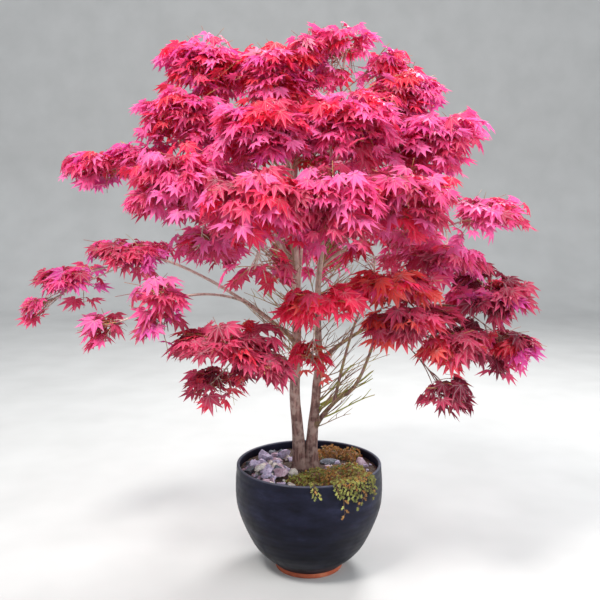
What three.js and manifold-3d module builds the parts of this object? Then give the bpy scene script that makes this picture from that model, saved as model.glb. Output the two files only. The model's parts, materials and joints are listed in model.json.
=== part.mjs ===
import * as THREE from 'three';
import { mergeVertices } from 'three/addons/utils/BufferGeometryUtils.js';
import Module from 'manifold-3d';

// A red-leaved Japanese maple with two stems, grown in a glazed pot.
// Millimetres, +Z up. The origin is the centre of the pot's flat underside.
// The tree's front faces -Y. Azimuths are degrees from +X, anticlockwise from above.

const wasm = await Module();
wasm.setup();

// Clearance kept between two solids that rest on or meet each other
const GAP = 0.3;

// Pot
const POT_HEIGHT = 372;
const POT_RIM_RADIUS = 250;
const POT_BELLY_RADIUS = 254;
const POT_BASE_RADIUS = 120;
const POT_WALL = 11;
const POT_FLOOR = 14;
const FOOT_HEIGHT = 18;
const FOOT_RADIUS = 117;
const FOOT_CHAMFER = 3;
const POT_SIDES = 32;

// Soil, with everything that grows or lies on it
const SOIL_LEVEL = 345;
const GROUND = SOIL_LEVEL + GAP;

// Stems: their axes rise through these knots, thick at the ground and thin at the tip
const STEMS = {
  left_stem: {
    knots: [[-28, 20, 325], [-38, 10, 470], [-49, -8, 620], [-42, -20, 780],
      [-44, -10, 960], [-48, 0, 1140], [-52, 0, 1300], [-77, 0, 1451]],
    base: 23,
    tip: 6.5,
    taper: 1,
  },
  right_stem: {
    knots: [[1, 22, 325], [12, 21, 460], [25, 30, 600], [34, 44, 740],
      [30, 56, 900], [38, 60, 1065], [68, 60, 1260], [92, 45, 1450], [106, 25, 1600]],
    base: 22,
    tip: 4.2,
    taper: 1.5,
  },
};
const STEM_SIDES = 8;
const STEM_STEP = 70;
const FOOT_SIDES = 15;
const FOOT_STEPS = 4;
const FORK_HEIGHT = 452;

// Root flare: five roots swell the foot of the stems and die away upwards
const FLARE_WIDTH = 11;
const FLARE_HEIGHT = 34;
const ROOT_COUNT = 5;

// Boughs and the masses of leaves that they carry. A bough leaves its parent at the given
// height, or at its tip where none is given, and ends where it enters its mass.
// A pad is a flattened ellipsoid of foliage:
// azimuth, reach and height of its centre, then its half sizes outwards, sideways and upwards.
const CROWN = [
  { name: 'top_peak', parent: 'right_stem',
    pads: [[0, 100, 1754, 112, 115, 84], [6, 246, 1714, 70, 82, 46]] },
  { name: 'top_centre', parent: 'left_stem',
    pads: [[205, 112, 1690, 130, 128, 92], [262, 50, 1764, 56, 60, 40]] },
  { name: 'top_left', parent: 'left_stem', at: 1395, base: 7, pads: [[173, 348, 1722, 158, 140, 88]] },
  { name: 'top_right', parent: 'right_stem', at: 1400, base: 6.5, pads: [[8, 320, 1630, 134, 140, 92]] },
  { name: 'upper_back', parent: 'left_stem', at: 1250, base: 8, pads: [[96, 290, 1590, 165, 210, 110]] },
  { name: 'upper_left', parent: 'left_stem', at: 1290, base: 8, pads: [[187, 398, 1545, 172, 150, 88]] },
  { name: 'upper_front_left', parent: 'left_stem', at: 1200, base: 7.5,
    pads: [[243, 320, 1480, 150, 150, 105]] },
  { name: 'upper_front_right', parent: 'right_stem', at: 1250, base: 7,
    pads: [[297, 268, 1508, 150, 155, 108]] },
  { name: 'upper_right', parent: 'right_stem', at: 1180, base: 7.5,
    pads: [[353, 408, 1472, 175, 150, 108]] },
  { name: 'mid_far_left', parent: 'left_stem', at: 1060, base: 9,
    pads: [[178, 568, 1390, 130, 132, 78], [178, 706, 1370, 108, 118, 66]] },
  { name: 'mid_left', parent: 'left_stem', at: 1010, base: 8.5,
    pads: [[214, 455, 1342, 150, 172, 98], [205, 356, 1104, 104, 112, 78], [206, 538, 1254, 74, 86, 44]] },
  { name: 'mid_front_left', parent: 'left_stem', at: 930, base: 9, arch: -10,
    pads: [[253, 512, 1262, 138, 148, 98], [249, 410, 1066, 92, 96, 78]] },
  { name: 'mid_front', parent: 'right_stem', at: 950, base: 8, arch: -10,
    pads: [[278, 462, 1268, 135, 134, 104]] },
  { name: 'mid_front_right', parent: 'right_stem', at: 1090, base: 7.5,
    pads: [[307, 452, 1280, 135, 134, 104]] },
  { name: 'mid_right', parent: 'right_stem', at: 1040, base: 9,
    pads: [[355, 552, 1210, 168, 150, 94], [338, 440, 1062, 138, 146, 94]] },
  { name: 'mid_back_left', parent: 'left_stem', at: 990, base: 9,
    pads: [[130, 492, 1350, 180, 185, 106], [136, 480, 1112, 140, 160, 80]] },
  { name: 'mid_back_right', parent: 'right_stem', at: 1130, base: 8,
    pads: [[48, 482, 1335, 180, 185, 112], [40, 480, 1098, 150, 165, 84]] },
  { name: 'mid_back', parent: 'left_stem', at: 900, base: 9,
    pads: [[91, 500, 1240, 170, 170, 104], [90, 470, 1062, 140, 165, 68]] },
  { name: 'low_left_spray', parent: 'left_stem', at: 795, base: 10, arch: 12,
    pads: [[180, 612, 1092, 132, 112, 52], [180, 794, 990, 125, 105, 64], [180, 920, 897, 48, 60, 38]] },
  { name: 'low_left_inner', parent: 'bough_low_left_spray', at: 925, base: 6, arch: 25,
    pads: [[213, 540, 984, 74, 90, 58], [198, 676, 862, 56, 64, 42], [213, 542, 882, 60, 64, 58]] },
  { name: 'skirt_left', parent: 'left_stem', at: 700, base: 7, arch: 20,
    pads: [[230, 405, 834, 122, 188, 82], [219, 374, 690, 100, 96, 52], [248, 372, 756, 76, 90, 54]] },
  { name: 'centre_tuft', parent: 'right_stem', at: 770, base: 6, arch: 0,
    pads: [[275, 362, 962, 104, 112, 68], [273, 178, 752, 68, 72, 64]] },
  { name: 'low_right_inner', parent: 'bough_low_right', at: 590, base: 7,
    pads: [[312, 378, 1000, 122, 128, 88], [303, 332, 1094, 74, 78, 48]] },
  { name: 'low_right_skirt', parent: 'bough_low_right', base: 8,
    pads: [[321, 400, 892, 124, 160, 70], [330, 512, 814, 104, 124, 70], [324, 508, 676, 62, 66, 42]] },
  { name: 'low_right_outer', parent: 'right_stem', at: 715, base: 9,
    pads: [[352, 590, 950, 152, 130, 104], [356, 650, 777, 110, 112, 78]] },
];
// The low limb on the right forks before it carries any leaves
const LOW_RIGHT_LIMB = { parent: 'right_stem', at: 480, base: 11, tip: 8.5, end: [329, 138, 625] };

const BOUGH_TIP = 4.6;
const BOUGH_TAPER = 0.9;
const BOUGH_STEP = 95;
const BOUGH_ARCH = 45;
const BOUGH_BEND = 0.05;

// Twigs and leaves
const SPINE_RADIUS = 4.2;
const SPINE_TIP = 3.5;
const TWIG_RADIUS = 1.7;
const TWIG_ARCH = 0.12;
const LARGE_PAD = 140;
const LEAF_LENGTH = 128;
const LEAF_HALF_THICKNESS = 2.4;
const LEAF_HEART = 0.08;
const LEAF_SINK = 0.05;
const LEAF_SIZES = [1, 0.88, 0.77, 0.67];
// Outline of a leaf with five lobes: degrees from the middle lobe, and share of its length
const LEAF_OUTLINE = [[0, 1], [21, 0.44], [42, 0.9], [68, 0.36], [98, 0.62],
  [-98, 0.62], [-68, 0.36], [-42, 0.9], [-21, 0.44]];

// A pad's own space ends at this share of its half sizes, and this share short of its neighbour's
const SPACE_EDGE = 1.38;
const SPACE_MARGIN = 0.03;

// Colours
const LEAF_COLOURS = {
  top: 0xd8285a,
  upper: 0xe0305f,
  mid: 0xd92a5c,
  low: 0xc92a3e,
  skirt: 0xa81f35,
  centre: 0xc0223a,
};

function polar(azimuth, reach, height) {
  const angle = THREE.MathUtils.degToRad(azimuth);
  return new THREE.Vector3(reach * Math.cos(angle), reach * Math.sin(angle), height);
}

// Seeded random numbers from 0 to 1
function seededRandom(seed) {
  let state = seed >>> 0;
  return () => {
    state = (state + 0x6d2b79f5) >>> 0;
    let mixed = Math.imul(state ^ (state >>> 15), state | 1);
    mixed ^= mixed + Math.imul(mixed ^ (mixed >>> 7), mixed | 61);
    return ((mixed ^ (mixed >>> 14)) >>> 0) / 4294967296;
  };
}

function spreadOf(random, width) {
  return (random() * 2 - 1) * width;
}

// Solids and meshes

function solidOf(geometry) {
  const bare = geometry.clone();
  bare.deleteAttribute('normal');
  bare.deleteAttribute('uv');
  const merged = mergeVertices(bare, 1e-4);
  const vertProperties = new Float32Array(merged.attributes.position.array);
  const triVerts = new Uint32Array(merged.index.array);
  return new wasm.Manifold(new wasm.Mesh({ numProp: 3, vertProperties, triVerts }));
}

function joined(solids) {
  return solids.reduce((whole, solid) => whole.add(solid));
}

// The largest body of a solid, so that no scrap or sealed hollow stays in it
function largestBody(solid) {
  return solid.decompose().reduce((best, body) => (body.volume() > best.volume() ? body : best));
}

function geometryOf(solid) {
  const { vertProperties, triVerts } = solid.getMesh();
  const geometry = new THREE.BufferGeometry();
  geometry.setAttribute('position', new THREE.BufferAttribute(new Float32Array(vertProperties), 3));
  geometry.setIndex(new THREE.BufferAttribute(new Uint32Array(triVerts), 1));
  geometry.computeVertexNormals();
  return geometry;
}

function meshOf(name, geometry, material) {
  const mesh = new THREE.Mesh(geometry, material);
  mesh.name = name;
  return mesh;
}

function material(color, roughness) {
  return new THREE.MeshStandardMaterial({ color, roughness, metalness: 0 });
}

const glazedMaterial = () => material(0x23252c, 0.38);
const terracottaMaterial = () => material(0xb0563a, 0.85);
const soilMaterial = () => material(0x4a3a33, 0.95);
const stoneMaterial = () => material(0x9a8a8c, 0.8);
const groundcoverMaterial = () => material(0x8a6a34, 0.8);
const barkMaterial = () => material(0x7a5f57, 0.85);
const leafMaterial = (name) => material(LEAF_COLOURS[name.split('_')[0]], 0.5);

// Pot

// Outside radius of the pot's wall, a curve through its base, flanks, belly and rim
const WALL_CURVE = new THREE.SplineCurve([
  new THREE.Vector2(POT_BASE_RADIUS, FOOT_HEIGHT),
  new THREE.Vector2(POT_BASE_RADIUS + 61, 75),
  new THREE.Vector2(POT_BASE_RADIUS + 98, 140),
  new THREE.Vector2(POT_BELLY_RADIUS - 6, 222),
  new THREE.Vector2(POT_BELLY_RADIUS, 290),
  new THREE.Vector2(POT_RIM_RADIUS, POT_HEIGHT - POT_WALL / 2),
]);
const WALL_STEPS = 7;
const INSIDE_STEPS = 4;

function wallProfile(inset, steps, lowest, highest) {
  return WALL_CURVE.getPoints(steps)
    .map((point) => new THREE.Vector2(point.x - inset, point.y))
    .filter((point) => point.y > lowest + 1 && point.y < highest - 1);
}

function wallRadiusAt(height) {
  const points = WALL_CURVE.getPoints(200);
  return points.reduce((best, p) => (Math.abs(p.y - height) < Math.abs(best.y - height) ? p : best)).x;
}

function potGeometry() {
  const floor = FOOT_HEIGHT + POT_FLOOR;
  const lipHeight = POT_HEIGHT - POT_WALL / 2;
  const lip = [0, 60, 120, 180].map((degrees) => {
    const angle = THREE.MathUtils.degToRad(degrees);
    const middle = POT_RIM_RADIUS - POT_WALL / 2;
    const half = POT_WALL / 2;
    return new THREE.Vector2(middle + half * Math.cos(angle), lipHeight + half * Math.sin(angle));
  });
  const profile = [
    new THREE.Vector2(0, FOOT_HEIGHT),
    new THREE.Vector2(POT_BASE_RADIUS, FOOT_HEIGHT),
    ...wallProfile(0, WALL_STEPS, FOOT_HEIGHT, lipHeight),
    ...lip,
    ...wallProfile(POT_WALL, INSIDE_STEPS, floor, lipHeight).reverse(),
    new THREE.Vector2(wallRadiusAt(floor) - POT_WALL, floor),
    new THREE.Vector2(0, floor),
  ];
  return turned(profile);
}

// A closed body of revolution about the pot's axis, from a profile in radius and height
function turned(profile) {
  const geometry = new THREE.LatheGeometry(profile, POT_SIDES);
  geometry.rotateX(Math.PI / 2);
  return mergeVertices(geometry.deleteAttribute('normal').deleteAttribute('uv'), 1e-4);
}

function footGeometry() {
  const top = FOOT_HEIGHT - GAP;
  return turned([
    new THREE.Vector2(0, 0),
    new THREE.Vector2(FOOT_RADIUS - FOOT_CHAMFER, 0),
    new THREE.Vector2(FOOT_RADIUS, FOOT_CHAMFER),
    new THREE.Vector2(FOOT_RADIUS, top),
    new THREE.Vector2(0, top),
  ]);
}

function soilGeometry() {
  const bottom = FOOT_HEIGHT + POT_FLOOR + GAP;
  const inset = POT_WALL + 1;
  return turned([
    new THREE.Vector2(0, bottom),
    new THREE.Vector2(wallRadiusAt(bottom) - inset, bottom),
    ...wallProfile(inset, INSIDE_STEPS, bottom, SOIL_LEVEL),
    new THREE.Vector2(wallRadiusAt(SOIL_LEVEL) - inset, SOIL_LEVEL),
    new THREE.Vector2(0, SOIL_LEVEL),
  ]);
}

// Stones and groundcover on the soil

function groundBlock() {
  const block = new THREE.BoxGeometry(700, 700, 200);
  block.translate(0, 0, GROUND - 100);
  return solidOf(block);
}

// An angular stone with a flat seat: width along X, depth along Y, height
function stoneGeometry(azimuth, reach, width, depth, height, seed) {
  const random = seededRandom(seed);
  const geometry = mergeVertices(
    new THREE.IcosahedronGeometry(1, 1).deleteAttribute('normal').deleteAttribute('uv'), 1e-4);
  const place = geometry.attributes.position;
  for (let i = 0; i < place.count; i++) {
    const swell = 1 + spreadOf(random, 0.16);
    place.setXYZ(i, place.getX(i) * swell * width / 2, place.getY(i) * swell * depth / 2,
      place.getZ(i) * swell * height);
  }
  const seat = polar(azimuth, reach, SOIL_LEVEL);
  geometry.translate(seat.x, seat.y, seat.z);
  return geometryOf(solidOf(geometry).subtract(groundBlock()));
}

// A low cushion: azimuth, reach, radius, height
const CUSHIONS_FRONT = [[284, 92, 54, 28], [318, 118, 54, 32], [296, 180, 46, 40], [325, 190, 44, 38],
  [350, 150, 46, 28]];
const CUSHIONS_BACK = [[62, 172, 50, 34], [38, 190, 44, 36], [80, 128, 42, 28]];
// Strands that trail over the rim: azimuth, and how far down they hang
const STRANDS = [[274, 38], [295, 100], [309, 78], [327, 58]];
const ROSETTES_PER_CUSHION = 4;
const ROSETTE_RADIUS = 12;
const STRAND_RADIUS = 2.6;
const STRAND_OFF_WALL = 10;
const BEAD_STEP = 26;

function rosette(centre, radius, flatness) {
  const geometry = new THREE.OctahedronGeometry(radius, 0);
  geometry.scale(1, 1, flatness);
  geometry.rotateZ(centre.x + centre.y);
  geometry.translate(centre.x, centre.y, centre.z);
  return solidOf(geometry);
}

function cushion([azimuth, reach, radius, height], random) {
  const centre = polar(azimuth, reach, SOIL_LEVEL);
  const dome = new THREE.SphereGeometry(1, 7, 4);
  dome.rotateX(Math.PI / 2);
  dome.scale(radius, radius, height);
  dome.translate(centre.x, centre.y, centre.z);
  const pieces = [solidOf(dome)];
  for (let i = 0; i < ROSETTES_PER_CUSHION; i++) {
    const turn = (i + random() * 0.5) * 360 / ROSETTES_PER_CUSHION * 1.618;
    const slope = THREE.MathUtils.degToRad(15 + 65 * (i + 0.5) / ROSETTES_PER_CUSHION);
    const outwards = polar(turn, radius * Math.sin(slope), 0);
    const place = centre.clone().add(outwards);
    place.z += height * Math.cos(slope);
    pieces.push(rosette(place, ROSETTE_RADIUS, 0.7));
  }
  return joined(pieces);
}

function strand([azimuth, drop]) {
  const wall = POT_BELLY_RADIUS + STRAND_OFF_WALL;
  const over = POT_HEIGHT + STRAND_OFF_WALL;
  const curve = new THREE.CatmullRomCurve3([
    polar(azimuth, POT_RIM_RADIUS - 50, SOIL_LEVEL + 22),
    polar(azimuth, POT_RIM_RADIUS - 22, over - 2),
    polar(azimuth, POT_RIM_RADIUS + 2, over + 1),
    polar(azimuth, wall, POT_HEIGHT - 8),
    polar(azimuth + 2, wall + 1, POT_HEIGHT - drop),
  ]);
  const length = curve.getLength();
  const pieces = [solidOf(limbGeometry(curve, () => STRAND_RADIUS, 3, 6))];
  const beads = Math.floor(length / BEAD_STEP);
  for (let i = 2; i <= beads; i++) {
    const place = curve.getPointAt(i / beads);
    pieces.push(rosette(place, 8.5, 1.15));
  }
  return joined(pieces);
}

function groundcoverGeometry(cushions, strands, seed) {
  const random = seededRandom(seed);
  const pieces = cushions.map((row) => cushion(row, random));
  strands.forEach((row) => pieces.push(strand(row)));
  const pot = solidOf(potGeometry());
  return geometryOf(largestBody(joined(pieces).subtract(groundBlock()).subtract(pot)));
}

// Limbs

// A closed tapering tube along a curve: a cylinder whose rings are moved onto the curve.
// radiusAt gets the share of the way along and the angle round the limb.
function limbGeometry(curve, radiusAt, sides, steps, from = 0, to = 1) {
  const geometry = new THREE.CylinderGeometry(1, 1, 1, sides, steps);
  const place = geometry.attributes.position;
  const chord = curve.getPoint(1).sub(curve.getPoint(0));
  const level = new THREE.Vector3(-chord.y, chord.x, 0);
  if (level.length() < 0.25 * chord.length()) level.set(0, 1, 0);
  for (let i = 0; i < place.count; i++) {
    const share = from + (to - from) * (place.getY(i) + 0.5);
    const angle = Math.atan2(place.getX(i), place.getZ(i));
    const radius = Math.hypot(place.getX(i), place.getZ(i)) * radiusAt(share, angle);
    const along = curve.getTangent(share);
    const across = level.clone().addScaledVector(along, -level.dot(along)).normalize();
    const third = across.clone().cross(along);
    const point = curve.getPoint(share)
      .addScaledVector(across, radius * Math.sin(angle))
      .addScaledVector(third, radius * Math.cos(angle));
    place.setXYZ(i, point.x, point.y, point.z);
  }
  return geometry;
}

function taperedRadius(base, tip, taper) {
  return (share) => tip + (base - tip) * (1 - share) ** taper;
}

// Share of the way along a rising curve at which it reaches a height
function shareAtHeight(curve, height) {
  let low = 0;
  let high = 1;
  for (let i = 0; i < 30; i++) {
    const middle = (low + high) / 2;
    if (curve.getPoint(middle).z < height) low = middle;
    else high = middle;
  }
  return (low + high) / 2;
}

function stemLimb({ knots, base, tip, taper }) {
  const points = knots.map((knot) => new THREE.Vector3(...knot));
  const curve = new THREE.CatmullRomCurve3(points, false, 'catmullrom');
  const plain = taperedRadius(base, tip, taper);
  const radiusAt = (share, angle = 0) => {
    const rise = curve.getPoint(share).z - GROUND;
    const roots = 1 + 0.35 * Math.cos(ROOT_COUNT * angle);
    return plain(share) + FLARE_WIDTH * roots * Math.exp(-Math.max(rise, 0) / FLARE_HEIGHT);
  };
  const fork = shareAtHeight(curve, FORK_HEIGHT);
  const from = fork + GAP / curve.getLength();
  return { curve, radiusAt, fork, from, sides: STEM_SIDES, steps: Math.ceil(curve.getLength() / STEM_STEP) };
}

// A bough's curve rises from its parent's axis, arches, and flattens out towards its tip
function boughLimb(start, leaving, end, base, tip, arch, seed) {
  const random = seededRandom(seed);
  const run = end.clone().sub(start);
  const rise = run.z;
  const flat = new THREE.Vector3(run.x, run.y, 0);
  const bend = new THREE.Vector3(-flat.y, flat.x, 0).multiplyScalar(spreadOf(random, BOUGH_BEND));
  const first = start.clone().addScaledVector(flat, 0.3).add(bend);
  first.z += rise * 0.4 + arch;
  if (leaving) first.copy(start).addScaledVector(leaving, run.length() / 3);
  const second = start.clone().addScaledVector(flat, 0.72).sub(bend);
  second.z += rise * 0.86 + arch;
  const curve = new THREE.CubicBezierCurve3(start, first, second, end);
  const length = curve.getLength();
  return {
    curve,
    radiusAt: taperedRadius(base, tip, BOUGH_TAPER),
    from: 0,
    sides: base > 8 ? 6 : 5,
    steps: Math.max(3, Math.ceil(length / BOUGH_STEP)),
  };
}

function limbSolid({ curve, radiusAt, from, sides, steps }, swelling = 0) {
  const swollen = (share, angle) => radiusAt(share, angle) + swelling;
  return solidOf(limbGeometry(curve, swollen, sides, steps, from));
}

// Pads and masses

function padOf([azimuth, reach, height, out, side, up]) {
  return {
    centre: polar(azimuth, reach, height),
    out: polar(azimuth, 1, 0),
    side: polar(azimuth + 90, 1, 0),
    halves: [out, side, up],
  };
}

// A point of a pad: bearing from its outward side, share of its half sizes, and level from -1 to 1
function pointOfPad(pad, bearing, share, level) {
  const angle = THREE.MathUtils.degToRad(bearing);
  const [out, side, up] = pad.halves;
  const point = pad.centre.clone()
    .addScaledVector(pad.out, out * share * Math.cos(angle))
    .addScaledVector(pad.side, side * share * Math.sin(angle));
  point.z += up * level;
  return point;
}

// How far out a point lies in a pad: 1 on its edge
function shareOfPad(pad, point) {
  const from = point.clone().sub(pad.centre);
  const [out, side, up] = pad.halves;
  return Math.hypot(from.dot(pad.out) / out, from.dot(pad.side) / side, from.z / up);
}

const masses = CROWN.map((row, index) => ({ ...row, seed: 100 + index, pads: row.pads.map(padOf) }));

function keepsToSpace(mass, point) {
  const own = Math.min(...mass.pads.map((pad) => shareOfPad(pad, point)));
  if (own > SPACE_EDGE) return false;
  return masses.every((other) => other === mass
    || other.pads.every((pad) => shareOfPad(pad, point) > own + SPACE_MARGIN));
}

// Every limb of the tree, by name

const limbs = {};

function growLimbs() {
  for (const [name, stem] of Object.entries(STEMS)) limbs[name] = stemLimb(stem);
  const low = LOW_RIGHT_LIMB;
  limbs.bough_low_right = boughLimb(leavingPoint(low), null, polar(...low.end), low.base, low.tip, 0, 50);
  limbs.bough_low_right.parent = low.parent;
  for (const mass of masses) {
    if (!mass.base) continue;
    const parent = limbs[mass.parent];
    const atTip = mass.at === undefined;
    const leaving = atTip ? parent.curve.getTangent(1) : null;
    const start = atTip ? parent.curve.getPoint(1).addScaledVector(leaving, GAP) : leavingPoint(mass);
    const end = pointOfPad(mass.pads[0], 180, 0.72, -0.25);
    const arch = mass.arch ?? BOUGH_ARCH;
    const limb = boughLimb(start, leaving, end, mass.base, BOUGH_TIP, arch, mass.seed);
    limb.parent = atTip ? null : mass.parent;
    limbs[`bough_${mass.name}`] = limb;
  }
}

function leavingPoint({ parent, at }) {
  const { curve } = limbs[parent];
  return curve.getPoint(shareAtHeight(curve, at));
}

// The trunk is the foot of both stems, flat on the soil and forked at its top
function trunkSolid() {
  const feet = Object.keys(STEMS).map((name) => {
    const { curve, radiusAt, fork } = limbs[name];
    return solidOf(limbGeometry(curve, radiusAt, FOOT_SIDES, FOOT_STEPS, 0, fork));
  });
  return joined(feet).subtract(groundBlock());
}

// A bough is cut clear of the limb it grows from
function boughSolid(name) {
  const limb = limbs[name];
  const solid = limbSolid(limb);
  if (!limb.parent) return solid;
  return largestBody(solid.subtract(limbSolid(limbs[limb.parent], 1.2 * GAP)));
}

// Points along the limbs and along the spines of the masses, with their radii.
// Twigs and leaves of other owners stay clear of them.
const OBSTACLE_STEP = 6;
const obstacles = [];

function addObstacle(owner, curve, radiusAt) {
  const count = Math.ceil(curve.getLength() / OBSTACLE_STEP);
  for (let i = 0; i <= count; i++) {
    obstacles.push({ owner, point: curve.getPoint(i / count), radius: radiusAt(i / count) });
  }
}

// Twigs

// The spine of a pad leaves its root, passes over the middle of the pad and droops to its outer side
function spineOf(pad, root, leaving) {
  const end = pointOfPad(pad, 0, 0.42, 0.12);
  const first = root.clone().addScaledVector(leaving, root.distanceTo(pad.centre) / 3);
  const second = pointOfPad(pad, 0, 0.05, 0.3);
  return new THREE.CubicBezierCurve3(root, first, second, end);
}

// The first pad's spine meets the bough's tip, and the other spines branch from it
function growSpines(mass) {
  const carrier = limbs[mass.base ? `bough_${mass.name}` : mass.parent];
  const leaving = carrier.curve.getTangent(1);
  const root = carrier.curve.getPoint(1).addScaledVector(leaving, GAP);
  const main = spineOf(mass.pads[0], root, leaving);
  mass.spines = mass.pads.map((pad, index) => {
    if (index === 0) return main;
    const branch = main.getPoint(0.1);
    const towards = pad.centre.clone().sub(branch).normalize();
    return spineOf(pad, branch, towards.addScaledVector(leaving, 0.6).normalize());
  });
}

// The side twigs of a pad leave its spine in opposite pairs, then shoots rise and hang from it
function twigPlan(pad, random) {
  const large = (pad.halves[0] + pad.halves[1]) / 2 > LARGE_PAD;
  const pairs = large ? 4 : 3;
  const plan = [];
  for (let i = 0; i < pairs; i++) {
    for (const sign of [1, -1]) {
      const bearing = sign * (142 - 98 * i / (pairs - 1)) + spreadOf(random, 9);
      const share = 0.46 + spreadOf(random, 0.06);
      const level = 0.08 + spreadOf(random, 0.3);
      plan.push({ from: 0.42 + 0.42 * i / (pairs - 1), bearing, share, level });
    }
  }
  plan.push({ from: 0.55, bearing: 150 + spreadOf(random, 40), share: 0.2, level: 0.66 });
  plan.push({ from: 0.7, bearing: spreadOf(random, 60), share: 0.12, level: 0.5 });
  plan.push({ from: 0.66, bearing: 180 + spreadOf(random, 60), share: 0.25, level: -0.45 });
  return plan;
}

function twigFree(mass, curve, radius) {
  const samples = 6;
  const near = radius + GAP + 3;
  for (let i = 1; i <= samples; i++) {
    const point = curve.getPoint(i / samples);
    if (!keepsToSpace(mass, point)) return false;
    const others = obstacles.filter(({ owner }) => owner !== mass.name);
    if (others.some((other) => other.point.distanceTo(point) < other.radius + near)) return false;
  }
  return true;
}

// Leaves

// Axes of a leaf: its middle lobe points along the heading, drooping, and its upper side faces up
function leafFrame(heading, droop, roll) {
  const flat = new THREE.Vector3(heading.x, heading.y, 0).normalize();
  const lobe = flat.clone().multiplyScalar(Math.cos(droop));
  lobe.z = -Math.sin(droop);
  const level = new THREE.Vector3(-flat.y, flat.x, 0);
  level.applyAxisAngle(lobe, roll);
  return { lobe, across: level, face: lobe.clone().cross(level) };
}

function outlinePoint(frame, root, size, [degrees, share]) {
  const angle = THREE.MathUtils.degToRad(degrees);
  return root.clone()
    .addScaledVector(frame.lobe, size * share * Math.cos(angle))
    .addScaledVector(frame.across, size * share * Math.sin(angle));
}

// How far a leaf's outline reaches in a direction, as a share of its length
function outlineReach(angle) {
  const degrees = THREE.MathUtils.radToDeg(angle);
  const ring = [...LEAF_OUTLINE].sort((a, b) => a[0] - b[0]);
  const next = ring.find(([edge]) => edge >= degrees) ?? ring[ring.length - 1];
  const last = ring[Math.max(ring.indexOf(next) - 1, 0)];
  return Math.max(next[1], last[1]);
}

function leafFree(mass, frame, root, size) {
  const samples = [];
  for (const [degrees, share] of LEAF_OUTLINE) {
    samples.push(outlinePoint(frame, root, size, [degrees, share]));
    samples.push(outlinePoint(frame, root, size, [degrees, share * 0.6]));
  }
  if (!samples.every((point) => keepsToSpace(mass, point))) return false;
  return !obstacles.some(({ owner, point, radius }) => {
    if (owner === mass.name) return false;
    const from = point.clone().sub(root);
    const reach = radius + LEAF_HALF_THICKNESS + GAP + 1;
    if (Math.abs(from.dot(frame.face)) > reach) return false;
    const along = from.dot(frame.lobe);
    const across = from.dot(frame.across);
    return Math.hypot(along, across) < size * outlineReach(Math.atan2(across, along)) + reach;
  });
}

// A flat double pyramid on the leaf's outline: a sphere of two bands whose equator is moved to it.
// The leaf is thickest at its heart, just past the twig's end.
function leafSolid(frame, root, size) {
  const count = LEAF_OUTLINE.length;
  const geometry = new THREE.SphereGeometry(1, count, 2);
  const place = geometry.attributes.position;
  for (let i = 0; i < place.count; i++) {
    const height = place.getY(i);
    let point = root.clone().addScaledVector(frame.face, height * LEAF_HALF_THICKNESS)
      .addScaledVector(frame.lobe, LEAF_HEART * size);
    if (Math.abs(height) < 0.5) {
      const turn = Math.atan2(place.getZ(i), -place.getX(i)) / (2 * Math.PI) + 1;
      const index = Math.round(turn * count) % count;
      point = outlinePoint(frame, root, size, LEAF_OUTLINE[index]);
    }
    place.setXYZ(i, point.x, point.y, point.z);
  }
  return solidOf(geometry);
}

// A leaf at a twig's end, as large as stays in its space and clear of what grows beside it
function growLeaf(mass, pad, root, heading, random, neighbours) {
  const edge = Math.min(shareOfPad(pad, root), 1);
  const lift = Math.max(root.z - pad.centre.z, 0) / pad.halves[2];
  const droop = THREE.MathUtils.degToRad(24 + 40 * edge * (1 - 0.5 * lift) + spreadOf(random, 12));
  const frame = leafFrame(heading, droop, THREE.MathUtils.degToRad(spreadOf(random, 14)));
  const sunk = root.clone().addScaledVector(frame.lobe, -LEAF_SINK * LEAF_LENGTH);
  for (const size of LEAF_SIZES) {
    if (!leafFree(mass, frame, sunk, size * LEAF_LENGTH)) continue;
    const leaf = leafSolid(frame, sunk, size * LEAF_LENGTH);
    if (neighbours.every((other) => other.intersect(leaf).isEmpty())) return leaf;
  }
  return null;
}

// The twigs of a pad: its spine first, then those side twigs and shoots that keep to its space
function padTwigs(mass, index) {
  const pad = mass.pads[index];
  const spine = mass.spines[index];
  const random = seededRandom(mass.seed * 10 + index);
  const spineRadius = taperedRadius(SPINE_RADIUS, SPINE_TIP, 1);
  const twigs = [{ pad, end: spine.getPoint(1), heading: pad.out, seed: Math.floor(random() * 1e6) }];
  twigs[0].solid = solidOf(limbGeometry(spine, spineRadius, 3, 4));
  for (const { from, bearing, share, level } of twigPlan(pad, random)) {
    const start = spine.getPoint(from);
    const end = pointOfPad(pad, bearing, share, level);
    const crest = start.clone().lerp(end, 0.5);
    crest.z += TWIG_ARCH * start.distanceTo(end);
    const curve = new THREE.CubicBezierCurve3(start, start.clone().lerp(crest, 0.6), crest, end);
    const heading = end.clone().sub(pad.centre.clone().lerp(start, 0.5));
    const seed = Math.floor(random() * 1e6);
    if (!twigFree(mass, curve, TWIG_RADIUS)) continue;
    twigs.push({ pad, end, heading, seed, solid: solidOf(limbGeometry(curve, () => TWIG_RADIUS, 3, 1)) });
  }
  return twigs;
}

// A mass is its twigs with a leaf at each end. A side twig whose leaf finds no room is left out.
function massSolid(mass) {
  const twigs = mass.pads.flatMap((pad, index) => padTwigs(mass, index));
  const solids = twigs.map((twig) => twig.solid);
  const leaves = [];
  const bare = [];
  for (const twig of twigs) {
    const neighbours = solids.filter((solid) => solid !== twig.solid).concat(leaves);
    const leaf = growLeaf(mass, twig.pad, twig.end, twig.heading, seededRandom(twig.seed), neighbours);
    if (leaf) leaves.push(leaf);
    else if (twig.heading !== twig.pad.out) bare.push(twig.solid);
  }
  return largestBody(joined([...solids.filter((solid) => !bare.includes(solid)), ...leaves]));
}

// The plant in its pot

function buildPot(group) {
  group.add(meshOf('pot', potGeometry(), glazedMaterial()));
  group.add(meshOf('pot_foot', footGeometry(), terracottaMaterial()));
  group.add(meshOf('soil', soilGeometry(), soilMaterial()));
}

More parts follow.
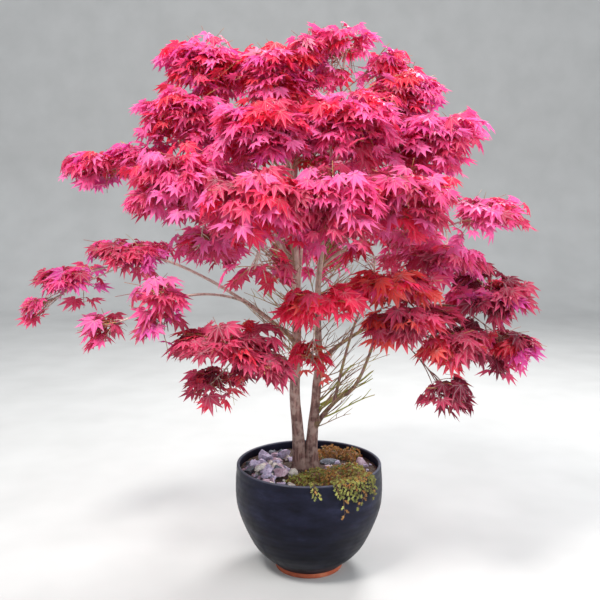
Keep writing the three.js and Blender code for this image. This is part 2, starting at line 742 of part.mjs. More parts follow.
function buildSoilTop(group) {
  group.add(meshOf('rock_large', stoneGeometry(146, 168, 84, 60, 52, 7), stoneMaterial()));
  group.add(meshOf('rock_slab', stoneGeometry(44, 100, 78, 44, 15, 8), stoneMaterial()));
  group.add(meshOf('rock_right', stoneGeometry(14, 190, 52, 46, 30, 9), stoneMaterial()));
  const front = groundcoverGeometry(CUSHIONS_FRONT, STRANDS, 21);
  const back = groundcoverGeometry(CUSHIONS_BACK, [], 22);
  group.add(meshOf('groundcover_front', front, groundcoverMaterial()));
  group.add(meshOf('groundcover_back', back, groundcoverMaterial()));
}

function buildTree(group) {
  growLimbs();
  masses.forEach(growSpines);
  for (const [name, limb] of Object.entries(limbs)) addObstacle(name, limb.curve, limb.radiusAt);
  for (const mass of masses) {
    mass.spines.forEach((spine) => addObstacle(mass.name, spine, () => SPINE_RADIUS));
  }
  group.add(meshOf('trunk', geometryOf(trunkSolid()), barkMaterial()));
  for (const name of Object.keys(STEMS)) {
    group.add(meshOf(name, geometryOf(limbSolid(limbs[name])), barkMaterial()));
  }
  for (const name of Object.keys(limbs).filter((key) => key.startsWith('bough'))) {
    group.add(meshOf(name, geometryOf(boughSolid(name)), barkMaterial()));
  }
  for (const mass of masses) {
    group.add(meshOf(`leaves_${mass.name}`, geometryOf(massSolid(mass)), leafMaterial(mass.name)));
  }
}

const maple = new THREE.Group();
maple.name = 'potted_japanese_maple';
buildPot(maple);
buildSoilTop(maple);
buildTree(maple);

export default maple;
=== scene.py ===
import json
import math

import bmesh
import bpy
import numpy as np
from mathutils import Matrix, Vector

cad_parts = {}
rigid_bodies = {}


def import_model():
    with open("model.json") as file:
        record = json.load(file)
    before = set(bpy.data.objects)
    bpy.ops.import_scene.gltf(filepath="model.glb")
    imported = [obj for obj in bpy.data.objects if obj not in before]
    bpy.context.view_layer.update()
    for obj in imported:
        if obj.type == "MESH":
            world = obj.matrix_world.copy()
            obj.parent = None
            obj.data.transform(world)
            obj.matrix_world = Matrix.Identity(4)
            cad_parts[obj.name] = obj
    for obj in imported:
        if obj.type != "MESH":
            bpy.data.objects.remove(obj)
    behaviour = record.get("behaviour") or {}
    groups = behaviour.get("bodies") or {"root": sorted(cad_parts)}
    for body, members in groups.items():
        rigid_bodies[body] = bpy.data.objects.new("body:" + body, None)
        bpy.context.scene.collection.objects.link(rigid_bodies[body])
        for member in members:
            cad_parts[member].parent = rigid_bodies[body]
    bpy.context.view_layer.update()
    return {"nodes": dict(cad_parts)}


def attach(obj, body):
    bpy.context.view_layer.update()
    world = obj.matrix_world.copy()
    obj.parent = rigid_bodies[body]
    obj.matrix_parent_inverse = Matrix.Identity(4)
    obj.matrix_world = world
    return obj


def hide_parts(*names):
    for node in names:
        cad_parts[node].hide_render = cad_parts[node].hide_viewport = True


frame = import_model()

# The looks of a potted Japanese maple, built round its solids. Sizes are millimetres up to
# mesh_object(), which writes metres. Azimuths are degrees from +X, anticlockwise from above.
# Pot, stems, boughs, pads and the rule that twigs grow by are the source's own, written again here.
# Fine twigs, bare twigs, stalks and small leaves are added here, as are gravel and trailing sprigs.
# Pairs that drawn() takes are a least value, and how much more there can be.
MM = 0.001
GAP = 0.3

# Pot
POT_HEIGHT = 372
POT_RIM_RADIUS = 250
POT_BELLY_RADIUS = 254
POT_BASE_RADIUS = 120
POT_WALL = 11
POT_FLOOR = 14
FOOT_HEIGHT = 18
FOOT_RADIUS = 117
SOIL_LEVEL = 345
GROUND = SOIL_LEVEL + GAP

# Stems: knots of their axes, radii at the ground and at the tip
STEMS = {
    "left_stem": {
        "knots": [(-28, 20, 325), (-38, 10, 470), (-49, -8, 620), (-42, -20, 780),
                  (-44, -10, 960), (-48, 0, 1140), (-52, 0, 1300), (-77, 0, 1451)],
        "base": 23, "tip": 6.5, "taper": 1,
    },
    "right_stem": {
        "knots": [(1, 22, 325), (12, 21, 460), (25, 30, 600), (34, 44, 740),
                  (30, 56, 900), (38, 60, 1065), (68, 60, 1260), (92, 45, 1450), (106, 25, 1600)],
        "base": 22, "tip": 4.2, "taper": 1.5,
    },
}
FLARE_WIDTH = 11
FLARE_HEIGHT = 34
ROOT_COUNT = 5
ROOT_SWELL = 0.35

# Boughs and masses: name, parent, height where the bough leaves it, its radius there, arch, pads.
# A pad: azimuth, reach and height of its centre, then its half sizes outwards, sideways and upwards.
ARCH = 45
CROWN = [
    ("top_peak", "right_stem", None, None, 0,
     [(0, 100, 1754, 112, 115, 84), (6, 246, 1714, 70, 82, 46)]),
    ("top_centre", "left_stem", None, None, 0,
     [(205, 112, 1690, 130, 128, 92), (262, 50, 1764, 56, 60, 40)]),
    ("top_left", "left_stem", 1395, 7, ARCH, [(173, 348, 1722, 158, 140, 88)]),
    ("top_right", "right_stem", 1400, 6.5, ARCH, [(8, 320, 1630, 134, 140, 92)]),
    ("upper_back", "left_stem", 1250, 8, ARCH, [(96, 290, 1590, 165, 210, 110)]),
    ("upper_left", "left_stem", 1290, 8, ARCH, [(187, 398, 1545, 172, 150, 88)]),
    ("upper_front_left", "left_stem", 1200, 7.5, ARCH, [(243, 320, 1480, 150, 150, 105)]),
    ("upper_front_right", "right_stem", 1250, 7, ARCH, [(297, 268, 1508, 150, 155, 108)]),
    ("upper_right", "right_stem", 1180, 7.5, ARCH, [(353, 408, 1472, 175, 150, 108)]),
    ("mid_far_left", "left_stem", 1060, 9, ARCH,
     [(178, 568, 1390, 130, 132, 78), (178, 706, 1370, 108, 118, 66)]),
    ("mid_left", "left_stem", 1010, 8.5, ARCH,
     [(214, 455, 1342, 150, 172, 98), (205, 356, 1104, 104, 112, 78), (206, 538, 1254, 74, 86, 44)]),
    ("mid_front_left", "left_stem", 930, 9, -10,
     [(253, 512, 1262, 138, 148, 98), (249, 410, 1066, 92, 96, 78)]),
    ("mid_front", "right_stem", 950, 8, -10, [(278, 462, 1268, 135, 134, 104)]),
    ("mid_front_right", "right_stem", 1090, 7.5, ARCH, [(307, 452, 1280, 135, 134, 104)]),
    ("mid_right", "right_stem", 1040, 9, ARCH,
     [(355, 552, 1210, 168, 150, 94), (338, 440, 1062, 138, 146, 94)]),
    ("mid_back_left", "left_stem", 990, 9, ARCH,
     [(130, 492, 1350, 180, 185, 106), (136, 480, 1112, 140, 160, 80)]),
    ("mid_back_right", "right_stem", 1130, 8, ARCH,
     [(48, 482, 1335, 180, 185, 112), (40, 480, 1098, 150, 165, 84)]),
    ("mid_back", "left_stem", 900, 9, ARCH,
     [(91, 500, 1240, 170, 170, 104), (90, 470, 1062, 140, 165, 68)]),
    ("low_left_spray", "left_stem", 795, 10, 12,
     [(180, 612, 1092, 132, 112, 52), (180, 794, 990, 125, 105, 64), (180, 920, 897, 48, 60, 38)]),
    ("low_left_inner", "bough_low_left_spray", 925, 6, 25,
     [(213, 540, 984, 74, 90, 58), (198, 676, 862, 56, 64, 42), (213, 542, 882, 60, 64, 58)]),
    ("skirt_left", "left_stem", 700, 7, 20,
     [(230, 405, 834, 122, 188, 82), (219, 374, 690, 100, 96, 52), (248, 372, 756, 76, 90, 54)]),
    ("centre_tuft", "right_stem", 770, 6, 0,
     [(275, 362, 962, 104, 112, 68), (273, 178, 752, 68, 72, 64)]),
    ("low_right_inner", "bough_low_right", 590, 7, ARCH,
     [(312, 378, 1000, 122, 128, 88), (303, 332, 1094, 74, 78, 48)]),
    ("low_right_skirt", "bough_low_right", None, 8, ARCH,
     [(321, 400, 892, 124, 160, 70), (330, 512, 814, 104, 124, 70), (324, 508, 676, 62, 66, 42)]),
    ("low_right_outer", "right_stem", 715, 9, ARCH,
     [(352, 590, 950, 152, 130, 104), (356, 650, 777, 110, 112, 78)]),
]
FIRST_SEED = 100
LOW_RIGHT_LIMB = {"parent": "right_stem", "at": 480, "base": 11, "tip": 8.5, "end": (329, 138, 625)}
LOW_RIGHT_SEED = 50
BOUGH_TIP = 4.6
BOUGH_TAPER = 0.9
BOUGH_BEND = 0.05
# Control points of a bough's curve: shares of its run on the flat, and of its rise
BOUGH_KNOTS = ((0.3, 0.4), (0.72, 0.86))
# Where a bough ends in its pad: bearing, share of the half sizes, level
BOUGH_END = (180, 0.72, -0.25)
# The plant's boughs are slimmer than the solids: share of their radius
BOUGH_SLIM = 0.74

# Side twigs of a spine: pairs, where the first one leaves and how far on the last one does
LARGE_PAD = 140
TWIG_PAIRS = {"large": 4, "small": 3}
PAIR_START = (0.42, 0.42)
# Their bearing at first, how much it falls to the last one, and its spread
PAIR_BEARING = (142, 98, 9)
# Where they end, each with its spread: share of the half sizes, and level
PAIR_SHARE = (0.46, 0.06)
PAIR_LEVEL = (0.08, 0.3)
# Shoots that rise and hang from a spine: start, bearing, its spread, share and level of the end
SPINE_SHOOTS = [(0.55, 150, 40, 0.2, 0.66), (0.7, 0, 60, 0.12, 0.5), (0.66, 180, 60, 0.25, -0.45)]
TWIG_ARCH = 0.12
SPINE_TIP = 2.0
SIDE_SPINE = 0.7
TWIG_RADII = (2.2, 1.2)
SPRAY_RADII = (1.25, 0.7)
STALK_RADII = (0.75, 0.6)
# Sides of the tubes for twigs and stalks; rings and sides of those for other twigs
TWIG_SIDES = 6
STALK_SIDES = 3
SPRAY_TUBE = (4, 4)
BARE_TUBE = (8, 5)
# Rings of the tubes for spines and for other twigs, and where fine twigs start along each
SPINE_PLAN = (12, 0.45)
TWIG_PLAN = (7, 0.3)
# Where the last fine twigs leave, and the way along a twig between two pairs of them
LAST_SPRAY = 0.95
SPRAY_SPACING = 44
SPRAY_REACH = (52, 100)
# Fine twigs: angle, share of the slope that they keep, rise; spreads of angle, rise and length
SPRAY_WAY = (46, 0.35, 0.12)
SPRAY_SPREADS = (14, 0.3, 0.22)
LEAF_NODES = (0.42, 0.72, 1.0)
HANGING_SPRAYS = (0.35, 0.6, 0.85)
# Twigs along the outer part of a bough: shares of the way along it, and length
BOUGH_TWIGS = (0.5, 0.62, 0.74, 0.86, 0.96)
BOUGH_TWIG_LENGTH = (90, 80)
# Twigs of the stems inside the crown: lowest height, highest height and spacing
STEM_TWIGS = {"left_stem": (1190, 1440, 62), "right_stem": (1210, 1560, 66)}
STEM_TWIG_LENGTH = 165
STEM_TWIG_TURN = 137.5
STEM_TWIG_SPACE = (150.0, 150.0, 110.0)
# Bare twigs in the open middle: stem, heights, count, azimuths, rise for each length, length
BARE_TWIGS = [("right_stem", (470, 230), 16, (285, 100), 0.85, 270),
              ("left_stem", (640, 510), 48, (120, 170), 0.9, 260),
              ("right_stem", (740, 460), 36, (240, 160), 0.8, 240),
              ("left_stem", (1210, 180), 20, (205, 140), 0.45, 260)]
# Thicker lime-green shoots, in the same way
LIME_TWIGS = [("right_stem", (1000, 110), 4, (295, 75), 1.7, 250),
              ("right_stem", (505, 80), 5, (300, 50), 0.8, 330)]
# Radii of each kind, and of its side shoots
BARE_TWIG_RADII = [(2.2, 0.9), (1.3, 0.6)]
LIME_TWIG_RADII = [(3.6, 1.5), (1.9, 0.9)]
# Side shoots of a bare twig: share of the way along it, and which side
BARE_SHOOTS = ((0.35, 1), (0.58, -1), (0.78, 1))
CROOK = 0.09
# How far leaves reach past a pad's half sizes, and how much of that lies above and below its middle
PAD_MARGIN = {"large": 20, "small": 34}
SMALL_PAD = 68
PAD_ABOVE = 0.68
PAD_BELOW = {"full": 1.6, "loose": 1.5, "slim": 1.1}
LOOSE_MASS = "low_left"
FULL_MASSES = ("top", "upper", "mid_left", "mid_front", "mid_back")
# That space is an ellipsoid with fuller corners, and sprays end at different shares of it
PAD_SQUARENESS = 2.5
PAD_RAGGED = 0.2
# Leaves whose tips lie further from the plant's axis are left off
FURTHEST_TIP = 986
# Openings in the crown, where the photo shows twigs and no leaves: centre and half sizes
OPENINGS = [((-60, -150, 1356), (110, 330, 66)), ((430, -20, 1212), (115, 330, 58)),
            ((-176, 0, 1130), (105, 700, 58)), ((228, 0, 1105), (105, 700, 54)),
            ((128, 0, 1728), (95, 220, 32))]

# Leaves: length of the middle lobe, its spread, and its share by part of the crown
LEAF_LENGTH = 55
LEAF_SPREAD = 0.25
LEAF_SIZES = {"top": 0.9, "upper": 0.94, "mid_far": 0.94, "low": 1.1, "skirt": 1.08, "centre": 1.12}
END_LEAF = 0.9
# Degrees that a leaf hangs: at a pad's middle, more at its edge, and spread
LEAF_DROOP = {"flat": (4, 18), "hanging": (6, 24)}
FLAT_MASSES = ("top", "upper", "mid_far", "low_left", "skirt")
DROOP_SPREAD = 28
LEAF_ROLL = 40
LEAF_CURL = (0.1, 0.25)
LEAF_FOLD = (0.6, 1.6)
# Stalks: length; angle to the twig, its spread, and its share at the twig's end
STALK_LENGTH = (18, 16)
STALK_ANGLE = (48, 18, 0.75)
# Share of the slope that a stalk keeps, its rise, and the rise's spread
STALK_SLOPE = (0.4, 0.1, 0.25)
# A leaf points along its stalk and away from the pad's middle, in these shares
LEAF_HEADING = (0.75, 0.35)
# Lobes of a leaf: degrees from the middle one, and share of its length
LEAF_LOBES = [(-112, 0.44), (-74, 0.76), (-37, 0.94), (0, 1), (37, 0.94), (74, 0.76), (112, 0.44)]
LOBE_HALF_WIDTH = 0.155
LOBE_WIDEST = 0.47
LOBE_CREST = 0.012
TIP_DROP = 0.035
SINUS_DEPTH = 0.37
# The leaf's edge behind its outermost lobes: degrees past them, and depth
LEAF_BACK = (34, 0.13)

LEAF_TINTS = {
    "hot_pink": "f270b0", "rose": "e65492", "crimson": "d64a72", "flame": "f23c64", "scarlet": "dc3c54",
    "magenta": "d852a2", "orange_red": "e65a56", "deep_red": "b63e5c", "burgundy": "80283e",
    "pale_pink": "f29ab4",
}
YOUNG_SHOOT = ("7d2a2a", "a8643e", "b8a060")
DRY_TWIG = ("74543f", "b4947a", "bcb070")
LIME_TWIG = ("8c8a3e", "acae52", "c6b678")
OLIVE_BARK = "a8a068"
# How often each part of the crown deals out each tint; the deals are partly the leaves' own colours and
# partly painted light and shade
# Pale and hot pink go mostly to the top as painted sunlight, deep red and burgundy mostly to the low masses
# as painted shade, and the bright flame most of all to the shaded centre tuft as painted light.
TINT_DEALS = {
    "inner": {"rose": 4, "crimson": 5, "scarlet": 3, "deep_red": 2, "hot_pink": 1},
    "top": {"hot_pink": 7, "rose": 6, "crimson": 2, "flame": 2, "scarlet": 2, "magenta": 2,
            "pale_pink": 0.4},
    "upper": {"hot_pink": 8, "rose": 6, "crimson": 3, "flame": 2, "scarlet": 1, "magenta": 1},
    "mid": {"hot_pink": 6, "rose": 6, "crimson": 4, "flame": 2, "deep_red": 2},
    "mid_far": {"hot_pink": 4, "rose": 6, "magenta": 1, "crimson": 4, "scarlet": 1},
    "low_left": {"hot_pink": 2, "magenta": 4, "rose": 4, "crimson": 4, "deep_red": 4},
    "skirt": {"crimson": 5, "scarlet": 2, "deep_red": 8, "burgundy": 2},
    "centre": {"flame": 8, "crimson": 2, "orange_red": 1},
    "centre_tuft_1": {"flame": 6, "orange_red": 3},
    "low_right": {"orange_red": 3, "flame": 5, "scarlet": 3, "crimson": 5, "rose": 2, "deep_red": 4},
    "low_right_outer": {"rose": 4, "crimson": 5, "deep_red": 6, "scarlet": 1, "magenta": 1,
                        "burgundy": 3},
    "low_right_inner": {"orange_red": 4, "flame": 4, "scarlet": 2, "crimson": 4, "rose": 2,
                        "deep_red": 2},
    "low_right_skirt": {"orange_red": 1, "scarlet": 3, "crimson": 6, "deep_red": 6, "burgundy": 1},
    "low_right_skirt_2": {"burgundy": 3, "deep_red": 4},
}


# Random numbers and curves

MASK = 0xFFFFFFFF


def seeded_random(seed):
    """The source's seeded random numbers, from 0 to 1."""
    state = seed & MASK

    def draw():
        nonlocal state
        state = (state + 0x6D2B79F5) & MASK
        mixed = ((state ^ (state >> 15)) * (state | 1)) & MASK
        mixed ^= (mixed + (mixed ^ (mixed >> 7)) * (mixed | 61)) & MASK
        return (mixed ^ (mixed >> 14)) / 4294967296

    return draw


def spread_of(draw, width):
    """A random number round zero."""
    return (draw() * 2 - 1) * width


def drawn(pair, draw):
    """A least value, and a random part of how much more there can be."""
    least, more = pair
    return least + more * draw()


def polar(azimuth, reach, height=0.0):
    angle = math.radians(azimuth)
    return np.array([reach * math.cos(angle), reach * math.sin(angle), height])


def unit(vectors):
    return vectors / np.maximum(np.linalg.norm(vectors, axis=-1, keepdims=True), 1e-9)


def level_side(along):
    """The level direction to one side of another."""
    return unit(np.array([-along[1], along[0], 0]) + 1e-6)


def forked(along, side, degrees):
    """A direction that turns off another towards a side."""
    angle = math.radians(degrees)
    return along * math.cos(angle) + side * math.sin(angle)


class Curve:
    """A curve with points and directions at shares of the way along it."""

    def tangents(self, shares):
        shares = np.asarray(shares, float)
        ahead = self.points(np.minimum(shares + 1e-4, 1))
        behind = self.points(np.maximum(shares - 1e-4, 0))
        return unit(ahead - behind)

    def at(self, share):
        return self.points(share), self.tangents(share)

    def length(self):
        return np.linalg.norm(np.diff(self.points(np.linspace(0, 1, 80)), axis=0), axis=1).sum()

    def share_at_height(self, height):
        low, high = 0.0, 1.0
        for _ in range(30):
            middle = (low + high) / 2
            if self.points(middle)[2] < height:
                low = middle
            else:
                high = middle
        return (low + high) / 2


class Bezier(Curve):
    def __init__(self, *knots):
        self.knots = np.array(knots, float)

    def points(self, shares):
        t = np.asarray(shares, float)[..., None]
        a, b, c, d = self.knots
        return (1 - t) ** 3 * a + 3 * (1 - t) ** 2 * t * b + 3 * (1 - t) * t * t * c + t ** 3 * d


class Spline(Curve):
    """A uniform Catmull-Rom spline through its knots."""

    def __init__(self, knots):
        knots = np.array(knots, float)
        before = 2 * knots[0] - knots[1]
        after = 2 * knots[-1] - knots[-2]
        self.knots = np.vstack([before, knots, after])

    def points(self, shares):
        place = np.asarray(shares, float) * (len(self.knots) - 3)
        start = np.clip(np.floor(place).astype(int), 0, len(self.knots) - 4)
        t = (place - start)[..., None]
        a, b, c, d = (self.knots[start + i] for i in range(4))
        return 0.5 * (2 * b + (c - a) * t + (2 * a - 5 * b + 4 * c - d) * t ** 2
                      + (3 * b - a - 3 * c + d) * t ** 3)


def lattice_noise(points, seed=0):
    """Smooth noise from -1 to 1 on a lattice of unit cells."""
    cell = np.floor(points).astype(np.int64)
    part = points - cell
    part = part * part * (3 - 2 * part)
    total = np.zeros(points.shape[:-1])
    for corner in np.ndindex(2, 2, 2):
        key = ((cell + corner) @ np.array([73856093, 19349663, 83492791]) + seed * 97531) & MASK
        key = ((key ^ (key >> 13)) * 1274126177) & MASK
        value = ((key ^ (key >> 16)) & 0xFFFF) / 32767.5 - 1
        total += value * np.prod(np.where(np.array(corner), part, 1 - part), axis=-1)
    return total


# Meshes

def in_scene(name, data):
    item = bpy.data.objects.new(name, data)
    bpy.context.scene.collection.objects.link(item)
    return item


def mesh_object(name, vertices, faces, material, slot, smooth=True, replaces=(), uvs=None):
    """A mesh from vertices in millimetres and a list of face arrays, riding on the plant's one body."""
    mesh = bpy.data.meshes.new(name)
    loops = np.concatenate([part.ravel() for part in faces]).astype(np.int32)
    sizes = np.concatenate([np.full(len(part), part.shape[1]) for part in faces])
    starts = np.concatenate([[0], np.cumsum(sizes)[:-1]])
    mesh.vertices.add(len(vertices))
    mesh.vertices.foreach_set("co", (np.asarray(vertices) * MM).astype(np.float32).ravel())
    mesh.loops.add(len(loops))
    mesh.loops.foreach_set("vertex_index", loops)
    mesh.polygons.add(len(sizes))
    mesh.polygons.foreach_set("loop_start", starts.astype(np.int32))
    mesh.polygons.foreach_set("use_smooth", np.full(len(sizes), smooth))
    mesh.materials.append(material)
    if uvs is not None:
        layer = mesh.uv_layers.new(name="lobe")
        layer.data.foreach_set("uv", np.asarray(uvs, np.float32)[loops].ravel())
    mesh.update(calc_edges=True)
    mesh.validate()
    item = in_scene(name, mesh)
    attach(item, "root")
    if replaces:
        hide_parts(*replaces)


def tube_frames(points):
    """Two axes across each tube at each of its rings: points is tubes x rings x 3."""
    along = unit(np.gradient(points, axis=1))
    chord = points[:, -1] - points[:, 0]
    level = np.stack([-chord[:, 1], chord[:, 0], np.zeros(len(chord))], axis=1)
    steep = np.linalg.norm(level, axis=1) < 0.25 * np.linalg.norm(chord, axis=1)
    level[steep] = (0, 1, 0)
    level = level[:, None, :]
    across = unit(level - (level * along).sum(-1, keepdims=True) * along)
    return across, np.cross(across, along)


def tubes(points, radii, sides):
    """Closed tubes: points tubes x rings x 3, radii tubes x rings or tubes x rings x sides."""
    count, rings, _ = points.shape
    across, third = tube_frames(points)
    angles = np.arange(sides) * 2 * math.pi / sides
    if radii.ndim == 2:
        radii = np.repeat(radii[:, :, None], sides, axis=2)
    ring = across[:, :, None] * np.sin(angles)[:, None] + third[:, :, None] * np.cos(angles)[:, None]
    vertices = points[:, :, None] + ring * radii[..., None]
    index = np.arange(count * rings * sides).reshape(count, rings, sides)
    low, high = index[:, :-1], index[:, 1:]
    quads = np.stack([low, high, np.roll(high, -1, axis=2), np.roll(low, -1, axis=2)], axis=-1)
    caps = np.concatenate([index[:, 0], index[:, -1, ::-1]])
    return vertices.reshape(-1, 3), [quads.reshape(-1, 4), caps]


def twig_tubes(curves, radii, rings, sides):
    """Tubes along curves, each from one radius to another."""
    shares = np.linspace(0, 1, rings)
    points = np.array([curve.points(shares) for curve in curves])
    base, tip = np.array(radii, float)[:, :, None].transpose(1, 0, 2)
    return tubes(points, base + (tip - base) * shares, sides)


def combined(parts):
    """One list of vertices and faces from several (vertices, faces)."""
    vertices, faces, start = [], [], 0
    for points, part in parts:
        vertices.append(points)
        faces += [face + start for face in part]
        start += len(points)
    return np.concatenate(vertices), faces


# Limbs

def tapered(base, tip, taper):
    return lambda share: tip + (base - tip) * (1 - share) ** taper


def stem_limb(stem):
    return {"curve": Spline(stem["knots"]), "radius": tapered(stem["base"], stem["tip"], stem["taper"]),
            "collar": None, "tip": stem["tip"]}


def bough_limb(start, leaving, end, base, tip, arch, seed, collar):
    """A bough rises from its parent's axis, arches, and flattens out towards its tip."""
    draw = seeded_random(seed)
    run = end - start
    flat = np.array([run[0], run[1], 0])
    bend = np.array([-flat[1], flat[0], 0]) * spread_of(draw, BOUGH_BEND)
    (near, low), (far, high) = BOUGH_KNOTS
    first = start + near * flat + bend + (0, 0, run[2] * low + arch)
    if leaving is not None:
        first = start + leaving * np.linalg.norm(run) / 3
    second = start + far * flat - bend + (0, 0, run[2] * high + arch)
    return {"curve": Bezier(start, first, second, end), "radius": tapered(base, tip, BOUGH_TAPER),
            "collar": collar, "tip": tip}


def leaving_point(limbs, parent, height):
    """The point of a limb's axis at a height, and its radius there."""
    limb = limbs[parent]
    share = limb["curve"].share_at_height(height)
    return limb["curve"].points(share), limb["radius"](share)


def bough_of_mass(limbs, mass, parent, height, base, arch):
    """The bough that carries a mass: it leaves its parent at a height, or carries the tip on."""
    end = point_of_pad(mass["pads"][0], *BOUGH_END)
    if height is None:
        start, leaving = limbs[parent]["curve"].at(1.0)
        return bough_limb(start, leaving, end, base, BOUGH_TIP, arch, mass["seed"], None)
    start, collar = leaving_point(limbs, parent, height)
    return bough_limb(start, None, end, base, BOUGH_TIP, arch, mass["seed"], collar)


def by_name(table, name, default=None):
    """What a table holds under the longest key that starts a name."""
    keys = [key for key in table if name.startswith(key)]
    return table[max(keys, key=len)] if keys else default


def pad_at(centre, azimuth, halves, build, habit, leaf_size):
    """A space that leaves fill, how far they hang below it, how much they droop, and their size."""
    return {"centre": centre, "out": polar(azimuth, 1), "side": polar(azimuth + 90, 1),
            "halves": np.array(halves, float), "below": PAD_BELOW[build], "droop": LEAF_DROOP[habit],
            "leaf_size": leaf_size}


def pad_build(name, order, halves):
    """How far a pad's leaves hang below it, as a key of PAD_BELOW."""
    if name.startswith(FULL_MASSES) and order == 0:
        return "full"
    if name.startswith(LOOSE_MASS) and np.mean(halves[:2]) > SMALL_PAD:
        return "loose"
    return "slim"


def pad_of_mass(name, order, row):
    azimuth, reach, height, *halves = row
    habit = "flat" if name.startswith(FLAT_MASSES) else "hanging"
    return pad_at(polar(azimuth, reach, height), azimuth, halves, pad_build(name, order, halves), habit,
                  by_name(LEAF_SIZES, name, 1))


def point_of_pad(pad, bearing, share, level):
    """A point by its bearing from the pad's outward side, share of its half sizes, and level."""
    angle = math.radians(bearing)
    out, side, up = pad["halves"]
    point = pad["centre"] + pad["out"] * out * share * math.cos(angle)
    return point + pad["side"] * side * share * math.sin(angle) + (0, 0, up * level)


def share_of_pad(pad, points):
    """How far out points lie in a pad: 1 on its edge."""
    reach = points - pad["centre"]
    parts = np.stack([reach @ pad["out"], reach @ pad["side"], reach[..., 2]], axis=-1)
    return np.linalg.norm(parts / pad["halves"], axis=-1)


def grow_limbs():
    """Every stem and bough by name, and the masses with their pads."""
    limbs = {name: stem_limb(stem) for name, stem in STEMS.items()}
    low = LOW_RIGHT_LIMB
    start, collar = leaving_point(limbs, low["parent"], low["at"])
    limbs["bough_low_right"] = bough_limb(start, None, polar(*low["end"]), low["base"], low["tip"], 0,
                                          LOW_RIGHT_SEED, collar)
    masses = []
    for index, (name, parent, height, base, arch, rows) in enumerate(CROWN):
        mass = {"name": name, "seed": FIRST_SEED + index, "full": name.startswith(FULL_MASSES),
                "carrier": f"bough_{name}" if base else parent,
                "pads": [pad_of_mass(name, order, row) for order, row in enumerate(rows)]}
        masses.append(mass)
        if base:
            limbs[f"bough_{name}"] = bough_of_mass(limbs, mass, parent, height, base, arch)
    return limbs, masses


# Wood

STEM_SIDES = 30
BOUGH_SIDES = 14
# Length of a limb between two rings of its mesh
STEM_RING = 4.0
BOUGH_RING = 6.0
# Relief of the bark: its length along the limb, its width, and its share of the limb's radius
FISSURE = (55, 4.5, 0.045)
LUMP = (70, 15, 0.085)
# A bough swells where it leaves its parent: share of its radius, and reach in radii of the parent
COLLAR = 0.55
COLLAR_REACH = 1.3
# Seeds of the first stem's relief and of the first bough's
STEM_SEED = 3
BOUGH_SEED = 11


def bark_relief(arcs, angles, radii, seed):
    """Share by which the bark stands out: fine fissures along the limb, and slow lumps."""
    total = 0
    for long, wide, height in (FISSURE, LUMP):
        place = np.stack([arcs / long + 0 * angles, np.cos(angles) * radii / wide,
                          np.sin(angles) * radii / wide], axis=-1)
        total = total + height * lattice_noise(place + 31, seed)
    return total


def limb_tube(limb, sides, ring_length, seed, foot=False, slim=1):
    """A limb with its bark: a stem flares into roots at its foot, and a bough swells at its collar."""
    curve = limb["curve"]
    length = curve.length()
    shares = np.linspace(0, 1, max(8, int(length / ring_length)))
    points = curve.points(shares)
    angles = (np.arange(sides) * 2 * math.pi / sides)[None, :]
    radii = slim * limb["radius"](shares)[:, None] + 0 * angles
    arcs = (shares * length)[:, None]
    if foot:
        rise = np.maximum(points[:, 2:3] - GROUND, 0)
        roots = 1 + ROOT_SWELL * np.cos(ROOT_COUNT * angles)
        radii = radii + FLARE_WIDTH * roots * np.exp(-rise / FLARE_HEIGHT)
    if limb["collar"]:
        past = np.maximum(arcs - limb["collar"], 0)
        radii = radii * (1 + COLLAR * np.exp(-past / (COLLAR_REACH * limb["collar"])))
    radii = radii * (1 + bark_relief(arcs, angles, radii, seed))
    return tubes(points[None], radii[None], sides)


def build_wood(limbs):
    bark = bark_material()
    stems = [limb_tube(limbs[name], STEM_SIDES, STEM_RING, STEM_SEED + i, foot=True)
             for i, name in enumerate(STEMS)]
    mesh_object("wood_stems", *combined(stems), bark, "bark", replaces=["trunk", *STEMS])
    olive = bark_material("bark_olive", OLIVE_BARK)
    names = sorted(name for name in limbs if name.startswith("bough_"))
    boughs = {name: limb_tube(limbs[name], BOUGH_SIDES, BOUGH_RING, BOUGH_SEED + i, slim=BOUGH_SLIM)
              for i, name in enumerate(names)}
    low = [name for name in names if name.startswith("bough_low_right")]
    high = [name for name in names if name not in low]
    for label, chosen, material in (("wood_boughs", high, bark), ("wood_boughs_low_right", low, olive)):
        mesh_object(label, *combined([boughs[name] for name in chosen]), material, "bark", replaces=chosen)


# Twigs

# Points that shape a spine in its pad: bearing, share and level
SPINE_KNOTS = ((0, 0.05, 0.3), (0, 0.42, 0.12))
# Where the spines of a mass's further pads leave its first, and the bough's direction in their own
SPINE_FORK = 0.1
SPINE_KEEPS = 0.6
# A twig of a bough: the bough's direction and the side's in its own, and its rise
BOUGH_TWIG_KEEPS = 0.55
BOUGH_TWIG_SIDE = (0.8, 0.4)
BOUGH_TWIG_RISE = 0.35
# Fine twigs are longest about the middle of a twig: least share of their reach, more, and offset
REACH_SHARE = (0.25, 0.75)
REACH_OFFSET = 0.8
SPRAY_JITTER = 0.3
ARCH_FULLNESS = 0.6
SPRAY_ARCH = 0.1
# The fine twig that carries a twig on: how it sags, the spread of its length, and its arch
END_SPRAY = (-0.1, 0.2, 0.08)
# Fine twigs that hang: the twig's direction, sideways spread, sag, share of the reach, and arch
HANGING_KEEPS = 0.6
HANGING_SPREAD = 0.5
HANGING_SAG = -0.75
HANGING_REACH = (0.7, 0.4)
HANGING_ARCH = 0.05
# Twigs of the stems: their rise, share of their length, and where along them their leaves centre
STEM_TWIG_RISE = 0.25
STEM_TWIG_SHARE = (0.8, 0.4)
STEM_TWIG_MIDDLE = 0.7
# Bare twigs: shares of their length and rise; their side shoots' turn, and length by place
BARE_SHARE = (0.55, 0.6)
BARE_RISE = (0.5, 1)
BARE_TURN = (24, 26)
BARE_SHOOT_SHARE = (0.5, 0.35)


